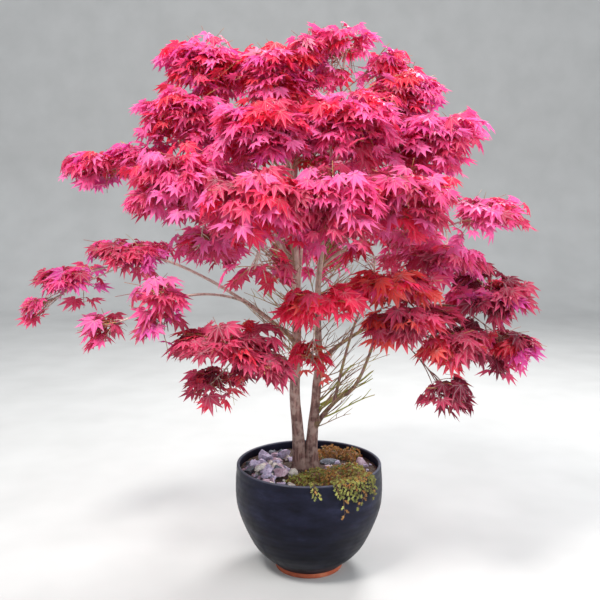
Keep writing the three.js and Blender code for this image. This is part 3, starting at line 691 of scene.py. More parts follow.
def spine_of(pad, root, leaving):
    first = root + leaving * np.linalg.norm(root - pad["centre"]) / 3
    return Bezier(root, first, *(point_of_pad(pad, *knot) for knot in SPINE_KNOTS))


def spines_of(limb, pads):
    """The spines of a mass: the first carries its bough on, the others fork from it."""
    root, leaving = limb["curve"].at(1.0)
    spines = [spine_of(pads[0], root, leaving)]
    branch = spines[0].points(SPINE_FORK)
    for pad in pads[1:]:
        towards = unit(pad["centre"] - branch)
        spines.append(spine_of(pad, branch, unit(towards + SPINE_KEEPS * leaving)))
    return spines


def twig_plan(pad, draw):
    """Side twigs leave the spine in opposite pairs, then shoots rise and hang from it."""
    pairs = TWIG_PAIRS["large" if pad["halves"][:2].mean() > LARGE_PAD else "small"]
    start, onwards = PAIR_START
    bearing, turn, spread = PAIR_BEARING
    plan = []
    for i in range(pairs):
        for sign in (1, -1):
            plan.append((start + onwards * i / (pairs - 1),
                         sign * (bearing - turn * i / (pairs - 1)) + spread_of(draw, spread),
                         PAIR_SHARE[0] + spread_of(draw, PAIR_SHARE[1]),
                         PAIR_LEVEL[0] + spread_of(draw, PAIR_LEVEL[1])))
    for start, bearing, spread, share, level in SPINE_SHOOTS:
        plan.append((start, bearing + spread_of(draw, spread), share, level))
    return plan


def arched(start, end, arch):
    crest = (start + end) / 2 + (0, 0, arch * np.linalg.norm(end - start))
    return Bezier(start, start + ARCH_FULLNESS * (crest - start), crest, end)


def pad_twigs(pad, spine, root_radius, seed):
    """The spine of a pad and its side twigs, as (curve, radii at root and tip)."""
    draw = seeded_random(seed)
    # The source's first number seeds the leaves of the spine
    draw()
    twigs = [(spine, (root_radius, SPINE_TIP))]
    for start, bearing, share, level in twig_plan(pad, draw):
        end = point_of_pad(pad, bearing, share, level)
        twigs.append((arched(spine.points(start), end, TWIG_ARCH), TWIG_RADII))
    return twigs


def bough_twigs(limb, draw):
    """Twigs that leave the outer part of a bough on either side, under the pad that it carries."""
    twigs = []
    for i, share in enumerate(BOUGH_TWIGS):
        start, along = limb["curve"].at(share)
        side = level_side(along) * (1 if i % 2 else -1)
        way = BOUGH_TWIG_KEEPS * along + side * drawn(BOUGH_TWIG_SIDE, draw)
        way = unit(way + (0, 0, spread_of(draw, BOUGH_TWIG_RISE)))
        end = start + way * drawn(BOUGH_TWIG_LENGTH, draw)
        twigs.append((arched(start, end, TWIG_ARCH), TWIG_RADII))
    return twigs


def spray_pairs(curve, draw, first):
    """Fine twigs that leave a twig in opposite pairs."""
    pairs = max(2, round(curve.length() * (LAST_SPRAY - first) / SPRAY_SPACING))
    shortest, longest = SPRAY_REACH
    least, more = REACH_SHARE
    angle, slope, rise = SPRAY_WAY
    angle_spread, rise_spread, length_spread = SPRAY_SPREADS
    sprays = []
    for i in range(pairs):
        start, along = curve.at(first + (LAST_SPRAY - first) * (i + SPRAY_JITTER * draw()) / pairs)
        level = level_side(along)
        swell = math.sin(math.pi * (i + REACH_OFFSET) / (pairs + REACH_OFFSET))
        reach = shortest + (longest - shortest) * (least + more * swell)
        for sign in (1, -1):
            way = forked(along, sign * level, angle + spread_of(draw, angle_spread))
            way[2] = slope * way[2] + rise + spread_of(draw, rise_spread)
            end = start + unit(way) * reach * (1 + spread_of(draw, length_spread))
            sprays.append(arched(start, end, SPRAY_ARCH))
    return sprays


def end_spray(curve, draw):
    """The fine twig that carries a twig on."""
    sag, spread, arch = END_SPRAY
    start, along = curve.at(1.0)
    end = start + unit(along + (0, 0, sag)) * SPRAY_REACH[0] * (1 + spread_of(draw, spread))
    return arched(start, end, arch)


def hanging_spray(curve, share, draw):
    start, along = curve.at(share)
    aside = (spread_of(draw, HANGING_SPREAD), spread_of(draw, HANGING_SPREAD), HANGING_SAG)
    way = unit(along * HANGING_KEEPS + aside)
    return arched(start, start + way * SPRAY_REACH[1] * drawn(HANGING_REACH, draw), HANGING_ARCH)


def sprays_of(curve, draw, first, hanging):
    """All fine twigs of a twig."""
    sprays = [*spray_pairs(curve, draw, first), end_spray(curve, draw)]
    for share in HANGING_SPRAYS if hanging else ():
        sprays.append(hanging_spray(curve, share, draw))
    return sprays


def crooked(start, way, length, draw):
    """A twig that bends one way and then the other."""
    side = unit(np.cross(way, (0.3, 0.2, 1)))
    first, second = (side * length * spread_of(draw, CROOK) + (0, 0, length * spread_of(draw, CROOK))
                     for _ in range(2))
    return Bezier(start, start + way * length / 3 + first, start + way * length * 2 / 3 + second,
                  start + way * length)


def bare_twigs(limbs, table, radii, seed):
    """Leafless twigs with a few side shoots each, as (curve, radii)."""
    rows = []
    draw = seeded_random(seed)
    for name, (low, more), count, azimuths, rise, length in table:
        stem = limbs[name]["curve"]
        for i in range(count):
            start = stem.points(stem.share_at_height(low + more * (i + draw()) / count))
            azimuth = drawn(azimuths, draw)
            reach = length * drawn(BARE_SHARE, draw)
            twig = crooked(start, unit(polar(azimuth, 1, rise * drawn(BARE_RISE, draw))), reach, draw)
            rows.append((twig, radii[0]))
            for share, sign in BARE_SHOOTS:
                way = unit(polar(azimuth + sign * drawn(BARE_TURN, draw), 1, rise))
                shoot = reach * (BARE_SHOOT_SHARE[0] - BARE_SHOOT_SHARE[1] * share)
                rows.append((crooked(twig.points(share), way, shoot, draw), radii[1]))
    return rows


# Leaves

LEVEL = (1, 1, 0)
# How far out the edge lies between lobes: share of SINUS_DEPTH at the sides, and more in front
SINUS_SHARE = (0.62, 0.38)
# Width of a lobe however short it is, and how much its length adds
LOBE_SHARE = (0.45, 0.55)
# Coordinates on a lobe: across it from the rib, and along it
SINUS_UV = (1, 0.3)
LOBE_UV = (1, 0.55)
TIP_UV = (0, 1)
# A folded leaf is narrower, and leaves above a pad's middle droop less
FOLD_NARROWS = 0.1
LIFT_EASES = 0.5
LEAVES_PER_PIECE = 6800
LEAF_COLUMNS = ("node", "heart", "heading", "droop", "roll", "length", "curl", "fold",
                "tint", "pad", "spray", "ragged")


def leaf_edge():
    """Where the leaf's edge lies between its lobes and behind them: angles and depths."""
    past, depth = LEAF_BACK
    back, front = SINUS_SHARE
    between = [(a + b) / 2 for (a, _), (b, _) in zip(LEAF_LOBES, LEAF_LOBES[1:])]
    cuts = [(a, SINUS_DEPTH * (back + front * math.cos(math.radians(a)))) for a in between]
    return [(LEAF_LOBES[0][0] - past, depth), *cuts, (LEAF_LOBES[-1][0] + past, depth)]


def leaf_template():
    """Vertices, triangles and lobe coordinates of a leaf one unit long: heart at 0, +X to its tip."""
    vertices, triangles, uvs = [(0, 0, 0)], [], [(0, 0)]

    def add(angle, reach, across, height, uv):
        way = math.radians(angle)
        x = reach * math.cos(way) - across * math.sin(way)
        y = reach * math.sin(way) + across * math.cos(way)
        vertices.append((x, y, height))
        uvs.append(uv)
        return len(vertices) - 1

    sinuses = [add(angle, depth, 0, 0, SINUS_UV) for angle, depth in leaf_edge()]
    for i, (angle, length) in enumerate(LEAF_LOBES):
        half = LOBE_HALF_WIDTH * (LOBE_SHARE[0] + LOBE_SHARE[1] * length)
        widest = LOBE_WIDEST * length
        left = add(angle, widest, half, LOBE_CREST, LOBE_UV)
        right = add(angle, widest, -half, LOBE_CREST, LOBE_UV)
        tip = add(angle, length, 0, -TIP_DROP, TIP_UV)
        triangles += [(0, sinuses[i], right), (0, right, tip), (0, tip, left), (0, left, sinuses[i + 1])]
    return np.array(vertices), np.array(triangles), np.array(uvs)


LEAF_VERTICES, LEAF_TRIANGLES, LEAF_UVS = leaf_template()


def leaf_parts(leaves):
    """Vertices, faces and lobe coordinates of many leaves."""
    heart, lobe, across, face = (leaves[key][:, None, :] for key in ("heart", "lobe", "across", "face"))
    length, curl, fold = (leaves[key][:, None, None] for key in ("length", "curl", "fold"))
    x, y, z = (LEAF_VERTICES[None, :, i, None] for i in range(3))
    height = z * fold - curl * (x * x + y * y)
    narrow = 1 - FOLD_NARROWS * fold
    vertices = heart + length * (x * lobe + y * narrow * across + height * face)
    index = np.arange(len(length))[:, None, None] * len(LEAF_VERTICES)
    triangles = (LEAF_TRIANGLES[None] + index).reshape(-1, 3)
    return vertices.reshape(-1, 3), triangles, np.tile(LEAF_UVS, (len(length), 1))


def leaf_on(pad, node, along, side, last, draw):
    """A leaf on its stalk at one side of a node, as the first eight of LEAF_COLUMNS."""
    angle, angle_spread, end_share = STALK_ANGLE
    slope, rise, rise_spread = STALK_SLOPE
    way = forked(along, side, (angle + spread_of(draw, angle_spread)) * (end_share if last else 1))
    way[2] = slope * way[2] + rise + spread_of(draw, rise_spread)
    heart = node + unit(way) * drawn(STALK_LENGTH, draw)
    outwards = unit((heart - pad["centre"]) * LEVEL)
    heading = unit(way * LEVEL) * LEAF_HEADING[0] + outwards * LEAF_HEADING[1]
    edge = min(share_of_pad(pad, heart), 1.0)
    lift = max(heart[2] - pad["centre"][2], 0) / pad["halves"][2]
    least, more = pad["droop"]
    droop = math.radians(least + more * edge * (1 - LIFT_EASES * lift) + spread_of(draw, DROOP_SPREAD))
    roll = math.radians(spread_of(draw, LEAF_ROLL))
    length = LEAF_LENGTH * (1 + spread_of(draw, LEAF_SPREAD)) * (END_LEAF if last else 1)
    length *= pad["leaf_size"]
    return node, heart, heading, droop, roll, length, drawn(LEAF_CURL, draw), drawn(LEAF_FOLD, draw)


def leaves_of_spray(pad, spray, draw):
    """Opposite pairs of leaves along a fine twig."""
    found = []
    for share in LEAF_NODES:
        node, along = spray.at(share)
        level = level_side(along)
        found += [leaf_on(pad, node, along, sign * level, share == 1, draw) for sign in (1, -1)]
    return found


def leaf_table(rows):
    """The leaves' columns, with their own axes worked out for all at once."""
    table = {key: np.array(column) for key, column in zip(LEAF_COLUMNS, zip(*rows))}
    droop, roll = table["droop"][:, None], table["roll"][:, None]
    flat = unit(table["heading"] * LEVEL)
    lobe = flat * np.cos(droop) - np.array([0, 0, 1]) * np.sin(droop)
    level = np.stack([-flat[:, 1], flat[:, 0], 0 * flat[:, 0]], axis=1)
    across = level * np.cos(roll) + np.cross(lobe, level) * np.sin(roll)
    return {**table, "lobe": lobe, "across": across, "face": np.cross(lobe, across)}


def reach_in_pads(pads, which, points):
    """How far out points lie in the space of their pads' leaves, which hangs lower than it rises."""
    centre, out, side, halves, below = (np.array([pad[key] for pad in pads])[which]
                                        for key in ("centre", "out", "side", "halves", "below"))
    reach = points - centre
    small = halves[:, :2].mean(axis=1) < SMALL_PAD
    halves = halves + np.where(small, PAD_MARGIN["small"], PAD_MARGIN["large"])[:, None]
    height = reach[:, 2] / halves[:, 2]
    height = np.where(height > 0, height / PAD_ABOVE, height / below)
    parts = [(reach * out).sum(-1) / halves[:, 0], (reach * side).sum(-1) / halves[:, 1], height]
    return np.linalg.norm(parts, ord=PAD_SQUARENESS, axis=0)


def deal_tint(deal, draw):
    pick = draw() * sum(deal.values())
    for tint, weight in deal.items():
        pick -= weight
        if pick < 0:
            return tint
    return tint


class Crown:
    """Twigs, fine twigs and leaves as they grow, and the pads that the leaves belong to."""

    def __init__(self):
        self.twigs = []
        self.sprays = []
        self.leaves = []
        self.pads = []

    def grow_twig(self, curve, radii, plan, deal, draw, hanging):
        """A twig, and fine twigs on it whose leaves belong to the last pad."""
        rings, first = plan
        self.twigs.append((curve, radii, rings))
        for spray in sprays_of(curve, draw, first, hanging):
            tint = deal_tint(deal, draw)
            ragged = 1 + spread_of(draw, PAD_RAGGED)
            for leaf in leaves_of_spray(self.pads[-1], spray, draw):
                self.leaves.append((*leaf, tint, len(self.pads) - 1, len(self.sprays), ragged))
            self.sprays.append(spray)

    def grow_mass(self, mass, limb):
        root_radius = BOUGH_SLIM * limb["tip"]
        for index, (pad, spine) in enumerate(zip(mass["pads"], spines_of(limb, mass["pads"]))):
            self.pads.append(pad)
            full = mass["full"] and index == 0
            draw = seeded_random(mass["seed"] * 1000 + index)
            radius = SIDE_SPINE * root_radius if index else root_radius
            grown = pad_twigs(pad, spine, radius, mass["seed"] * 10 + index)
            grown += bough_twigs(limb, draw) if full else []
            deal = by_name(TINT_DEALS, f"{mass['name']}_{index}")
            for order, (curve, radii) in enumerate(grown):
                self.grow_twig(curve, radii, TWIG_PLAN if order else SPINE_PLAN, deal, draw, full)

    def grow_stem_twigs(self, stem, heights, draw):
        """Twigs round a stem inside the crown, each with a pad of its own."""
        for order, height in enumerate(range(*heights)):
            start = stem.points(stem.share_at_height(height))
            way = unit(polar(STEM_TWIG_TURN * order, 1, STEM_TWIG_RISE))
            end = start + way * STEM_TWIG_LENGTH * drawn(STEM_TWIG_SHARE, draw)
            curve = arched(start, end, TWIG_ARCH)
            self.pads.append(pad_at(curve.points(STEM_TWIG_MIDDLE), 0, STEM_TWIG_SPACE, "slim", "flat", 1))
            self.grow_twig(curve, TWIG_RADII, TWIG_PLAN, TINT_DEALS["inner"], draw, True)

    def kept_leaves(self):
        """The leaves that end in their pads' space and keep out of the openings."""
        table = leaf_table(self.leaves)
        hearts = table["heart"]
        tips = hearts + table["lobe"] * table["length"][:, None]
        reach = [reach_in_pads(self.pads, table["pad"], points) for points in (tips, hearts)]
        kept = np.maximum(*reach) < table["ragged"]
        kept &= np.linalg.norm(tips[:, :2], axis=1) < FURTHEST_TIP
        for middle, halves in OPENINGS:
            kept &= np.linalg.norm((hearts - middle) / halves, axis=1) > 1
        return {key: column[kept] for key, column in table.items()}


def grown_crown(limbs, masses):
    crown = Crown()
    for mass in masses:
        crown.grow_mass(mass, limbs[mass["carrier"]])
    for name, heights in STEM_TWIGS.items():
        crown.grow_stem_twigs(limbs[name]["curve"], heights, seeded_random(len(name)))
    return crown


def build_twigs(limbs, twigs):
    """The twigs that bear leaves, and the bare ones."""
    parts = []
    for plan in sorted([TWIG_PLAN, SPINE_PLAN]):
        curves, radii, _ = zip(*(row for row in twigs if row[2] == plan[0]))
        parts.append(twig_tubes(curves, radii, plan[0], TWIG_SIDES))
    mesh_object("twigs", *combined(parts), bark_material(), "bark")
    for name, table, radii, codes in (("bare_twigs", BARE_TWIGS, BARE_TWIG_RADII, DRY_TWIG),
                                      ("lime_twigs", LIME_TWIGS, LIME_TWIG_RADII, LIME_TWIG)):
        curves, thickness = zip(*bare_twigs(limbs, table, radii, len(table)))
        shoots = twig_tubes(curves, thickness, *BARE_TUBE)
        mesh_object(name, *shoots, shoot_material(name, codes), "bark")


def build_leaves(leaves):
    """One piece for each tint, and more where it has many leaves."""
    for tint, code in LEAF_TINTS.items():
        material = leaf_material(f"leaf_{tint}", code)
        chosen = np.flatnonzero(leaves["tint"] == tint)
        for piece, start in enumerate(range(0, len(chosen), LEAVES_PER_PIECE)):
            rows = chosen[start:start + LEAVES_PER_PIECE]
            vertices, triangles, uvs = leaf_parts({key: column[rows] for key, column in leaves.items()})
            label = f"foliage_{tint}_{piece + 1}" if piece else f"foliage_{tint}"
            mesh_object(label, vertices, [triangles], material, "leaves", uvs=uvs)


def build_foliage(limbs, masses):
    crown = grown_crown(limbs, masses)
    leaves = crown.kept_leaves()
    build_twigs(limbs, crown.twigs)
    green = shoot_material("young_shoots", YOUNG_SHOOT)
    sprays = [crown.sprays[i] for i in np.unique(leaves["spray"])]
    shoots = twig_tubes(sprays, [SPRAY_RADII] * len(sprays), *SPRAY_TUBE)
    replaced = sorted(node for node in frame["nodes"] if node.startswith("leaves_"))
    mesh_object("young_shoots", *shoots, green, "bark", replaces=replaced)
    ends = np.stack([leaves["node"], leaves["heart"]], axis=1)
    stalks = tubes(ends, np.tile(STALK_RADII, (len(ends), 1)), STALK_SIDES)
    mesh_object("leaf_stalks", *stalks, green, "bark")
    build_leaves(leaves)


# Materials

EVEN = (1, 1, 1)


def linear(color):
    """Linear colour from a code such as "e8386f", a grey level, or three levels."""
    if isinstance(color, str):
        parts = [int(color[i:i + 2], 16) / 255 for i in (0, 2, 4)]
        return tuple(c / 12.92 if c <= 0.04045 else ((c + 0.055) / 1.055) ** 2.4 for c in parts)
    return color if isinstance(color, tuple) else (color,) * 3


def scaled(color, factor):
    return tuple(min(c * factor, 1.0) for c in color)


class Shader:
    """Short ways to build a node material, with colours as linear() takes them."""

    def __init__(self, name):
        self.material = bpy.data.materials.new(name)
        self.material.use_nodes = True
        self.tree = self.material.node_tree
        self.tree.nodes.clear()
        self.output = self.node("OutputMaterial")

    def node(self, kind, **values):
        """A node whose inputs, named with _ for spaces, get links, colours or numbers."""
        item = self.tree.nodes.new(f"ShaderNode{kind}")
        for key, value in values.items():
            self.feed(item.inputs[key.replace("_", " ")], value)
        return item

    def feed(self, socket, value):
        if isinstance(value, bpy.types.NodeSocket):
            self.tree.links.new(value, socket)
        elif isinstance(value, (str, tuple)):
            socket.default_value = (*linear(value), 1)
        else:
            socket.default_value = value

    def place(self, stretch=EVEN):
        """Metres from the plant's origin, stretched along each axis."""
        mapping = self.node("Mapping", Vector=self.node("TexCoord").outputs["Object"])
        mapping.inputs["Scale"].default_value = stretch
        return mapping.outputs["Vector"]

    def height(self):
        """Metres above the ground."""
        return self.node("SeparateXYZ", Vector=self.place()).outputs["Z"]

    def noise(self, scale, detail, stretch=EVEN, rough=0.5):
        vector = self.place(stretch)
        texture = self.node("TexNoise", Scale=scale, Detail=detail, Roughness=rough, Vector=vector)
        return texture.outputs["Fac"]

    def ramp(self, factor, *stops):
        """Colours at positions from 0 to 1 of a factor."""
        ramp = self.node("ValToRGB", Fac=factor)
        elements = ramp.color_ramp.elements
        while len(elements) < len(stops):
            elements.new(0.5)
        for element, (position, color) in zip(elements, stops):
            element.position = position
            element.color = (*linear(color), 1)
        return ramp.outputs["Color"]

    def mix(self, factor, first, second, blend="MIX"):
        mix = self.node("Mix")
        mix.data_type = "RGBA"
        mix.blend_type = blend
        for socket, value in (("Factor", factor), (6, first), (7, second)):
            self.feed(mix.inputs[socket], value)
        return mix.outputs[2]

    def bump(self, height, strength, distance):
        return self.node("Bump", Strength=strength, Distance=distance, Height=height).outputs["Normal"]

    def principled(self, color, roughness, **values):
        return self.node("BsdfPrincipled", Base_Color=color, Roughness=roughness, **values).outputs["BSDF"]

    def finish(self, surface):
        self.feed(self.output.inputs["Surface"], surface)
        return self.material


# Share of the light that shines through a leaf
THROUGH = 0.45


def leaf_material(name, code):
    """A thin leaf: a tint that varies from leaf to leaf, paler ribs, and light shining through."""
    shader = Shader(name)
    base = linear(code)
    bright = scaled(base, 1.25)
    tone = shader.ramp(shader.noise(17, 2), (0.3, scaled(base, 0.72)), (0.5, base), (0.72, bright))
    across = shader.node("SeparateXYZ", Vector=shader.node("UVMap").outputs["UV"]).outputs["X"]
    rib = shader.ramp(across, (0.02, 1), (0.16, 0))
    pale = tuple(0.55 * c + 0.25 for c in base)
    surface = shader.principled(shader.mix(rib, tone, pale), 0.52, Specular_IOR_Level=0.22)
    through = shader.node("BsdfTranslucent", Color=bright).outputs["BSDF"]
    blend = shader.node("MixShader", Fac=THROUGH)
    shader.feed(blend.inputs[1], surface)
    shader.feed(blend.inputs[2], through)
    return shader.finish(blend.outputs["Shader"])


def bark_material(name="bark", tint="d0bcb0"):
    """Fine-grained bark with pale patches, with painted shade that darkens it towards the soil and painted
    sunlight that pales it high up.
    """
    shader = Shader(name)
    streaks = shader.noise(150, 4, (1, 1, 0.12))
    patches = shader.ramp(shader.noise(42, 4), (0.44, 0.0), (0.6, 0.85))
    color = shader.ramp(streaks, (0.3, "5e443e"), (0.5, "93716a"), (0.72, "cfaea2"))
    color = shader.mix(patches, color, tint)
    height = shader.height()
    # Painted shade: the colour darkens from 0.95 m down towards the soil.
    shade = shader.ramp(height, (0.36, (0.4, 0.34, 0.33)), (0.62, (0.72, 0.66, 0.66)), (0.95, 1))
    color = shader.mix(1.0, color, shade, "MULTIPLY")
    # Painted sunlight: the colour pales towards cream from 0.9 m up.
    color = shader.mix(shader.ramp(height, (0.9, 0), (1.0, 0.6)), color, "dccabb")
    return shader.finish(shader.principled(color, 0.82, Normal=shader.bump(streaks, 0.5, 0.0012)))


def grained_material(name, grain, stops, roughness, relief=None, **values):
    """A material whose colour, and relief where it has some, follow one noise."""
    shader = Shader(name)
    noise = shader.noise(*grain)
    if relief:
        values["Normal"] = shader.bump(noise, *relief)
    return shader.finish(shader.principled(shader.ramp(noise, *stops), roughness, **values))


def shoot_material(name, codes):
    return grained_material(name, (12, 2), zip((0.35, 0.52, 0.68), codes), 0.55)


def soil_material():
    stops = ((0.35, "2b211c"), (0.52, "4a3a30"), (0.72, "85746a"))
    return grained_material("soil", (160, 6, EVEN, 0.7), stops, 0.95, (0.8, 0.003))


def stone_material(name, codes):
    return grained_material(name, (95, 6, EVEN, 0.62), zip((0.3, 0.5, 0.74), codes), 0.78, (0.45, 0.0015))


def groundcover_material(name, codes):
    return grained_material(name, (70, 3), zip((0.3, 0.7), codes), 0.5, Subsurface_Weight=0.1,
                            Subsurface_Scale=0.004)


def floor_material():
    stops = ((0.3, (0.44, 0.436, 0.428)), (0.7, (0.48, 0.476, 0.468)))
    return grained_material("floor", (3, 2), stops, 0.85)


def glaze_material():
    """Near-black glaze with a blue cast, with painted shade towards the foot, a painted sheen higher up and
    a painted highlight on the lip.
    """
    shader = Shader("glaze")
    cloud = shader.noise(9, 5, (1, 1, 2.5), 0.6)
    color = shader.ramp(cloud, (0.3, "0c0c14"), (0.55, "191a28"), (0.8, "2a2c40"))
    height = shader.height()
    # Painted shade and sheen: the colour darkens towards the foot and is brightest from 0.3 m up.
    color = shader.mix(1.0, color, shader.ramp(height, (0.05, 0.55), (0.3, (1.2, 1.2, 1.25))), "MULTIPLY")
    # Painted highlight: a pale grey band along the top of the lip.
    color = shader.mix(shader.ramp(height, (0.367, 0), (0.371, 0.6)), color, "6a6c7a")
    rough = shader.ramp(shader.noise(30, 4), (0.3, 0.32), (0.7, 0.48))
    relief = shader.mix(0.3, shader.noise(240, 3, (0.02, 0.02, 1)), shader.noise(900, 2))
    normal = shader.bump(relief, 0.07, 0.0008)
    return shader.finish(shader.principled(color, rough, Normal=normal, Specular_IOR_Level=0.11))


def terracotta_material():
    shader = Shader("terracotta")
    color = shader.ramp(shader.noise(24, 4), (0.3, "88402a"), (0.55, "a65236"), (0.8, "bc7454"))
    normal = shader.bump(shader.noise(260, 5), 0.35, 0.0008)
    return shader.finish(shader.principled(color, 0.9, Normal=normal))


# Pot

POT_TURN = 128
POT_RINGS = 90
LIP_HEIGHT = POT_HEIGHT - POT_WALL / 2
WALL_KNOTS = [(POT_BASE_RADIUS, FOOT_HEIGHT), (POT_BASE_RADIUS + 61, 75), (POT_BASE_RADIUS + 98, 140),
              (POT_BELLY_RADIUS - 6, 222), (POT_BELLY_RADIUS, 290), (POT_RIM_RADIUS, LIP_HEIGHT)]
WALL = Spline([(x, 0, z) for x, z in WALL_KNOTS])
UNDERSIDE = FOOT_HEIGHT + 0.2
# First and last angle of the rounded lip, and its points
LIP_ARC = (15, 165, 9)
# The foot's side: how far inside its radius, and height
FOOT_SIDE = [(3, 0), (0.8, 0.8), (0, 3), (0, FOOT_HEIGHT - 2), (1, FOOT_HEIGHT - GAP)]
# Throwing rings: depth, height in which they turn by a radian, and start
THROWING_RINGS = [(0.14, 3.1, 0), (0.16, 7.3, 1)]
# They fade in above the foot, and out towards the rim: distance below it, and length
RING_FADE_IN = 40
RING_FADE_OUT = (24, 30)
# The groove under the rim: depth, distance below it, and half width
GROOVE = (0.9, 26, 4)


def wall_radius_at(height):
    return WALL.points(WALL.share_at_height(height))[0]


def turned(profile, sides):
    """A closed body of revolution from a profile of (radius, height) that starts and ends on the axis."""
    ring = np.array(profile[1:-1], float)
    angles = np.arange(sides) * 2 * math.pi / sides
    x = ring[:, 0][:, None] * np.cos(angles)
    y = ring[:, 0][:, None] * np.sin(angles)
    z = np.repeat(ring[:, 1][:, None], sides, axis=1)
    index = np.arange(x.size).reshape(x.shape)
    after = np.roll(index, -1, 1)
    quads = np.stack([index[:-1], after[:-1], after[1:], index[1:]], axis=-1)
    ends = [(0, 0, profile[0][1]), (0, 0, profile[-1][1])]
    vertices = np.vstack([np.stack([x, y, z], axis=-1).reshape(-1, 3), ends])
    first = np.stack([np.full(sides, x.size), after[0], index[0]], axis=-1)
    last = np.stack([np.full(sides, x.size + 1), index[-1], after[-1]], axis=-1)
    return vertices, [quads.reshape(-1, 4), np.concatenate([first, last])]


def throwing_ring(height):
    """The potter's fingers leave faint rings in the wall, and a shallow groove under the rim."""
    below, length = RING_FADE_OUT
    fade = min((height - FOOT_HEIGHT) / RING_FADE_IN, (POT_HEIGHT - below - height) / length)
    rings = sum(depth * math.sin(height / turn + start) for depth, turn, start in THROWING_RINGS)
    depth, below, half = GROOVE
    groove = -depth * math.exp(-((height - POT_HEIGHT + below) / half) ** 2)
    return rings * max(min(fade, 1), 0) + groove


def pot_profile():
    floor = FOOT_HEIGHT + POT_FLOOR
    wall = WALL.points(np.linspace(0, 1, POT_RINGS))
    outside = [(p[0] + throwing_ring(p[2]), p[2]) for p in wall]
    lip = [(POT_RIM_RADIUS - POT_WALL / 2 + POT_WALL / 2 * math.cos(a),
            LIP_HEIGHT + POT_WALL / 2 * math.sin(a)) for a in np.radians(np.linspace(*LIP_ARC))]
    inside = [(p[0] - POT_WALL, p[2]) for p in wall[::-3] if p[2] > floor + 1]
    return [(0, UNDERSIDE), (POT_BASE_RADIUS - 2, UNDERSIDE), *outside, *lip, *inside,
            (wall_radius_at(floor) - POT_WALL, floor), (0, floor)]


def build_pot():
    mesh_object("pot_glazed", *turned(pot_profile(), POT_TURN), glaze_material(), "glaze",
                replaces=["pot"])
    side = [(FOOT_RADIUS - inwards, height) for inwards, height in FOOT_SIDE]
    foot = turned([(0, side[0][1]), *side, (0, side[-1][1])], POT_TURN)
    mesh_object("pot_clay_foot", *foot, terracotta_material(), "terracotta", replaces=["pot_foot"])


# Soil, stones and groundcover

SOIL_RINGS = 46
SOIL_TURN = 120
# Between soil and wall; how far the soil's even level lies below its highest crumbs
SOIL_CLEARANCE = 1
SOIL_SINK = 2
# Lumps and crumbs: size, height, seed
SOIL_GRAIN = [(16, 2.2, 4), (5, 1.6, 5)]
# Stones: azimuth, reach, width along X, depth along Y, height, seed, kind
ROCKS = {
    "rock_large": (146, 168, 84, 60, 52, 7, "mauve"),
    "rock_slab": (44, 100, 78, 44, 15, 8, "slate"),
    "rock_right": (14, 190, 52, 46, 30, 9, "pink"),
}
# Shares of a stone's height: its middle above the soil, and half of it
ROCK_RISE = 0.12
ROCK_HALF_HEIGHT = 0.86
STONE_KINDS = {
    "mauve": ("847a92", "b4aac4", "e2daec"),
    "slate": ("3c4048", "5b6069", "8b9098"),
    "pink": ("8e7680", "bea2b0", "e4d2dc"),
    "pale": ("9a948c", "c4beb4", "e4e0d8"),
}
# Gravel: how many stones, azimuths, reach, half size, and how far above the soil they lie
GRAVEL = [(110, (0, 360), (30, 224), (7, 16), 0), (44, (118, 256), (74, 218), (17, 30), 5),
          (17, (124, 240), (96, 194), (25, 38), 20)]
GRAVEL_KINDS = ["mauve", "mauve", "mauve", "pink", "pale", "slate"]
GRAVEL_SEED = 41
GRAVEL_HALVES = (1, 0.9, 0.75)
GRAVEL_SPREAD = (0.65, 1)
GRAVEL_CORNERS = 10
GRAVEL_BEVEL = 0.04
GRAVEL_RISE = 0.25
# Gravel keeps off the trunk, and off the middle of the cushions
TRUNK_MIDDLE = (-12, 20)
TRUNK_SPACE = 46
CUSHION_SPACE = 0.8


def soil_height(x, y):
    height = SOIL_LEVEL - SOIL_SINK
    for size, rise, seed in SOIL_GRAIN:
        points = np.stack([x / size, y / size, 0 * x], axis=-1)
        height = height + rise * lattice_noise(points + 9, seed)
    return height


def soil_radius(height):
    return wall_radius_at(height) - POT_WALL - SOIL_CLEARANCE


def build_soil():
    edge = soil_radius(SOIL_LEVEL)
    bottom = FOOT_HEIGHT + POT_FLOOR + GAP
    profile = [(0, bottom), (soil_radius(bottom), bottom)]
    profile += [(p[0] - POT_WALL - SOIL_CLEARANCE, p[2]) for p in WALL.points(np.linspace(0.1, 1, 12))
                if bottom + 5 < p[2] < SOIL_LEVEL - 8]
    profile.append((edge, SOIL_LEVEL - 6))
    profile += [(edge * (1 - i / SOIL_RINGS), SOIL_LEVEL) for i in range(SOIL_RINGS)]
    profile.append((0, SOIL_LEVEL))
    vertices, faces = turned(profile, SOIL_TURN)
    top = vertices[:, 2] > SOIL_LEVEL - 1
    vertices[top, 2] = soil_height(vertices[top, 0], vertices[top, 1])
    mesh_object("potting_soil", vertices, faces, soil_material(), "soil", replaces=["soil"])


def stone_mesh(centre, halves, seed, corners=22, bevel=0.08):
    """An angular stone: the hull of scattered points, its edges worn round."""
    random = np.random.default_rng(seed)
    points = unit(random.normal(size=(corners, 3))) * random.uniform(0.86, 1.05, (corners, 1))
    build = bmesh.new()
    for point in points * halves:
        build.verts.new(point)
    hull = bmesh.ops.convex_hull(build, input=build.verts)
    bmesh.ops.delete(build, geom=hull["geom_interior"], context="VERTS")
    bmesh.ops.bevel(build, geom=build.edges[:], offset=bevel * min(halves), segments=2, affect="EDGES",
                    profile=0.6, clamp_overlap=True)
    bmesh.ops.triangulate(build, faces=build.faces[:])
    build.verts.index_update()
    vertices = np.array([v.co[:] for v in build.verts]) + centre
    faces = np.array([[v.index for v in face.verts] for face in build.faces])
    build.free()
    return vertices, [faces]


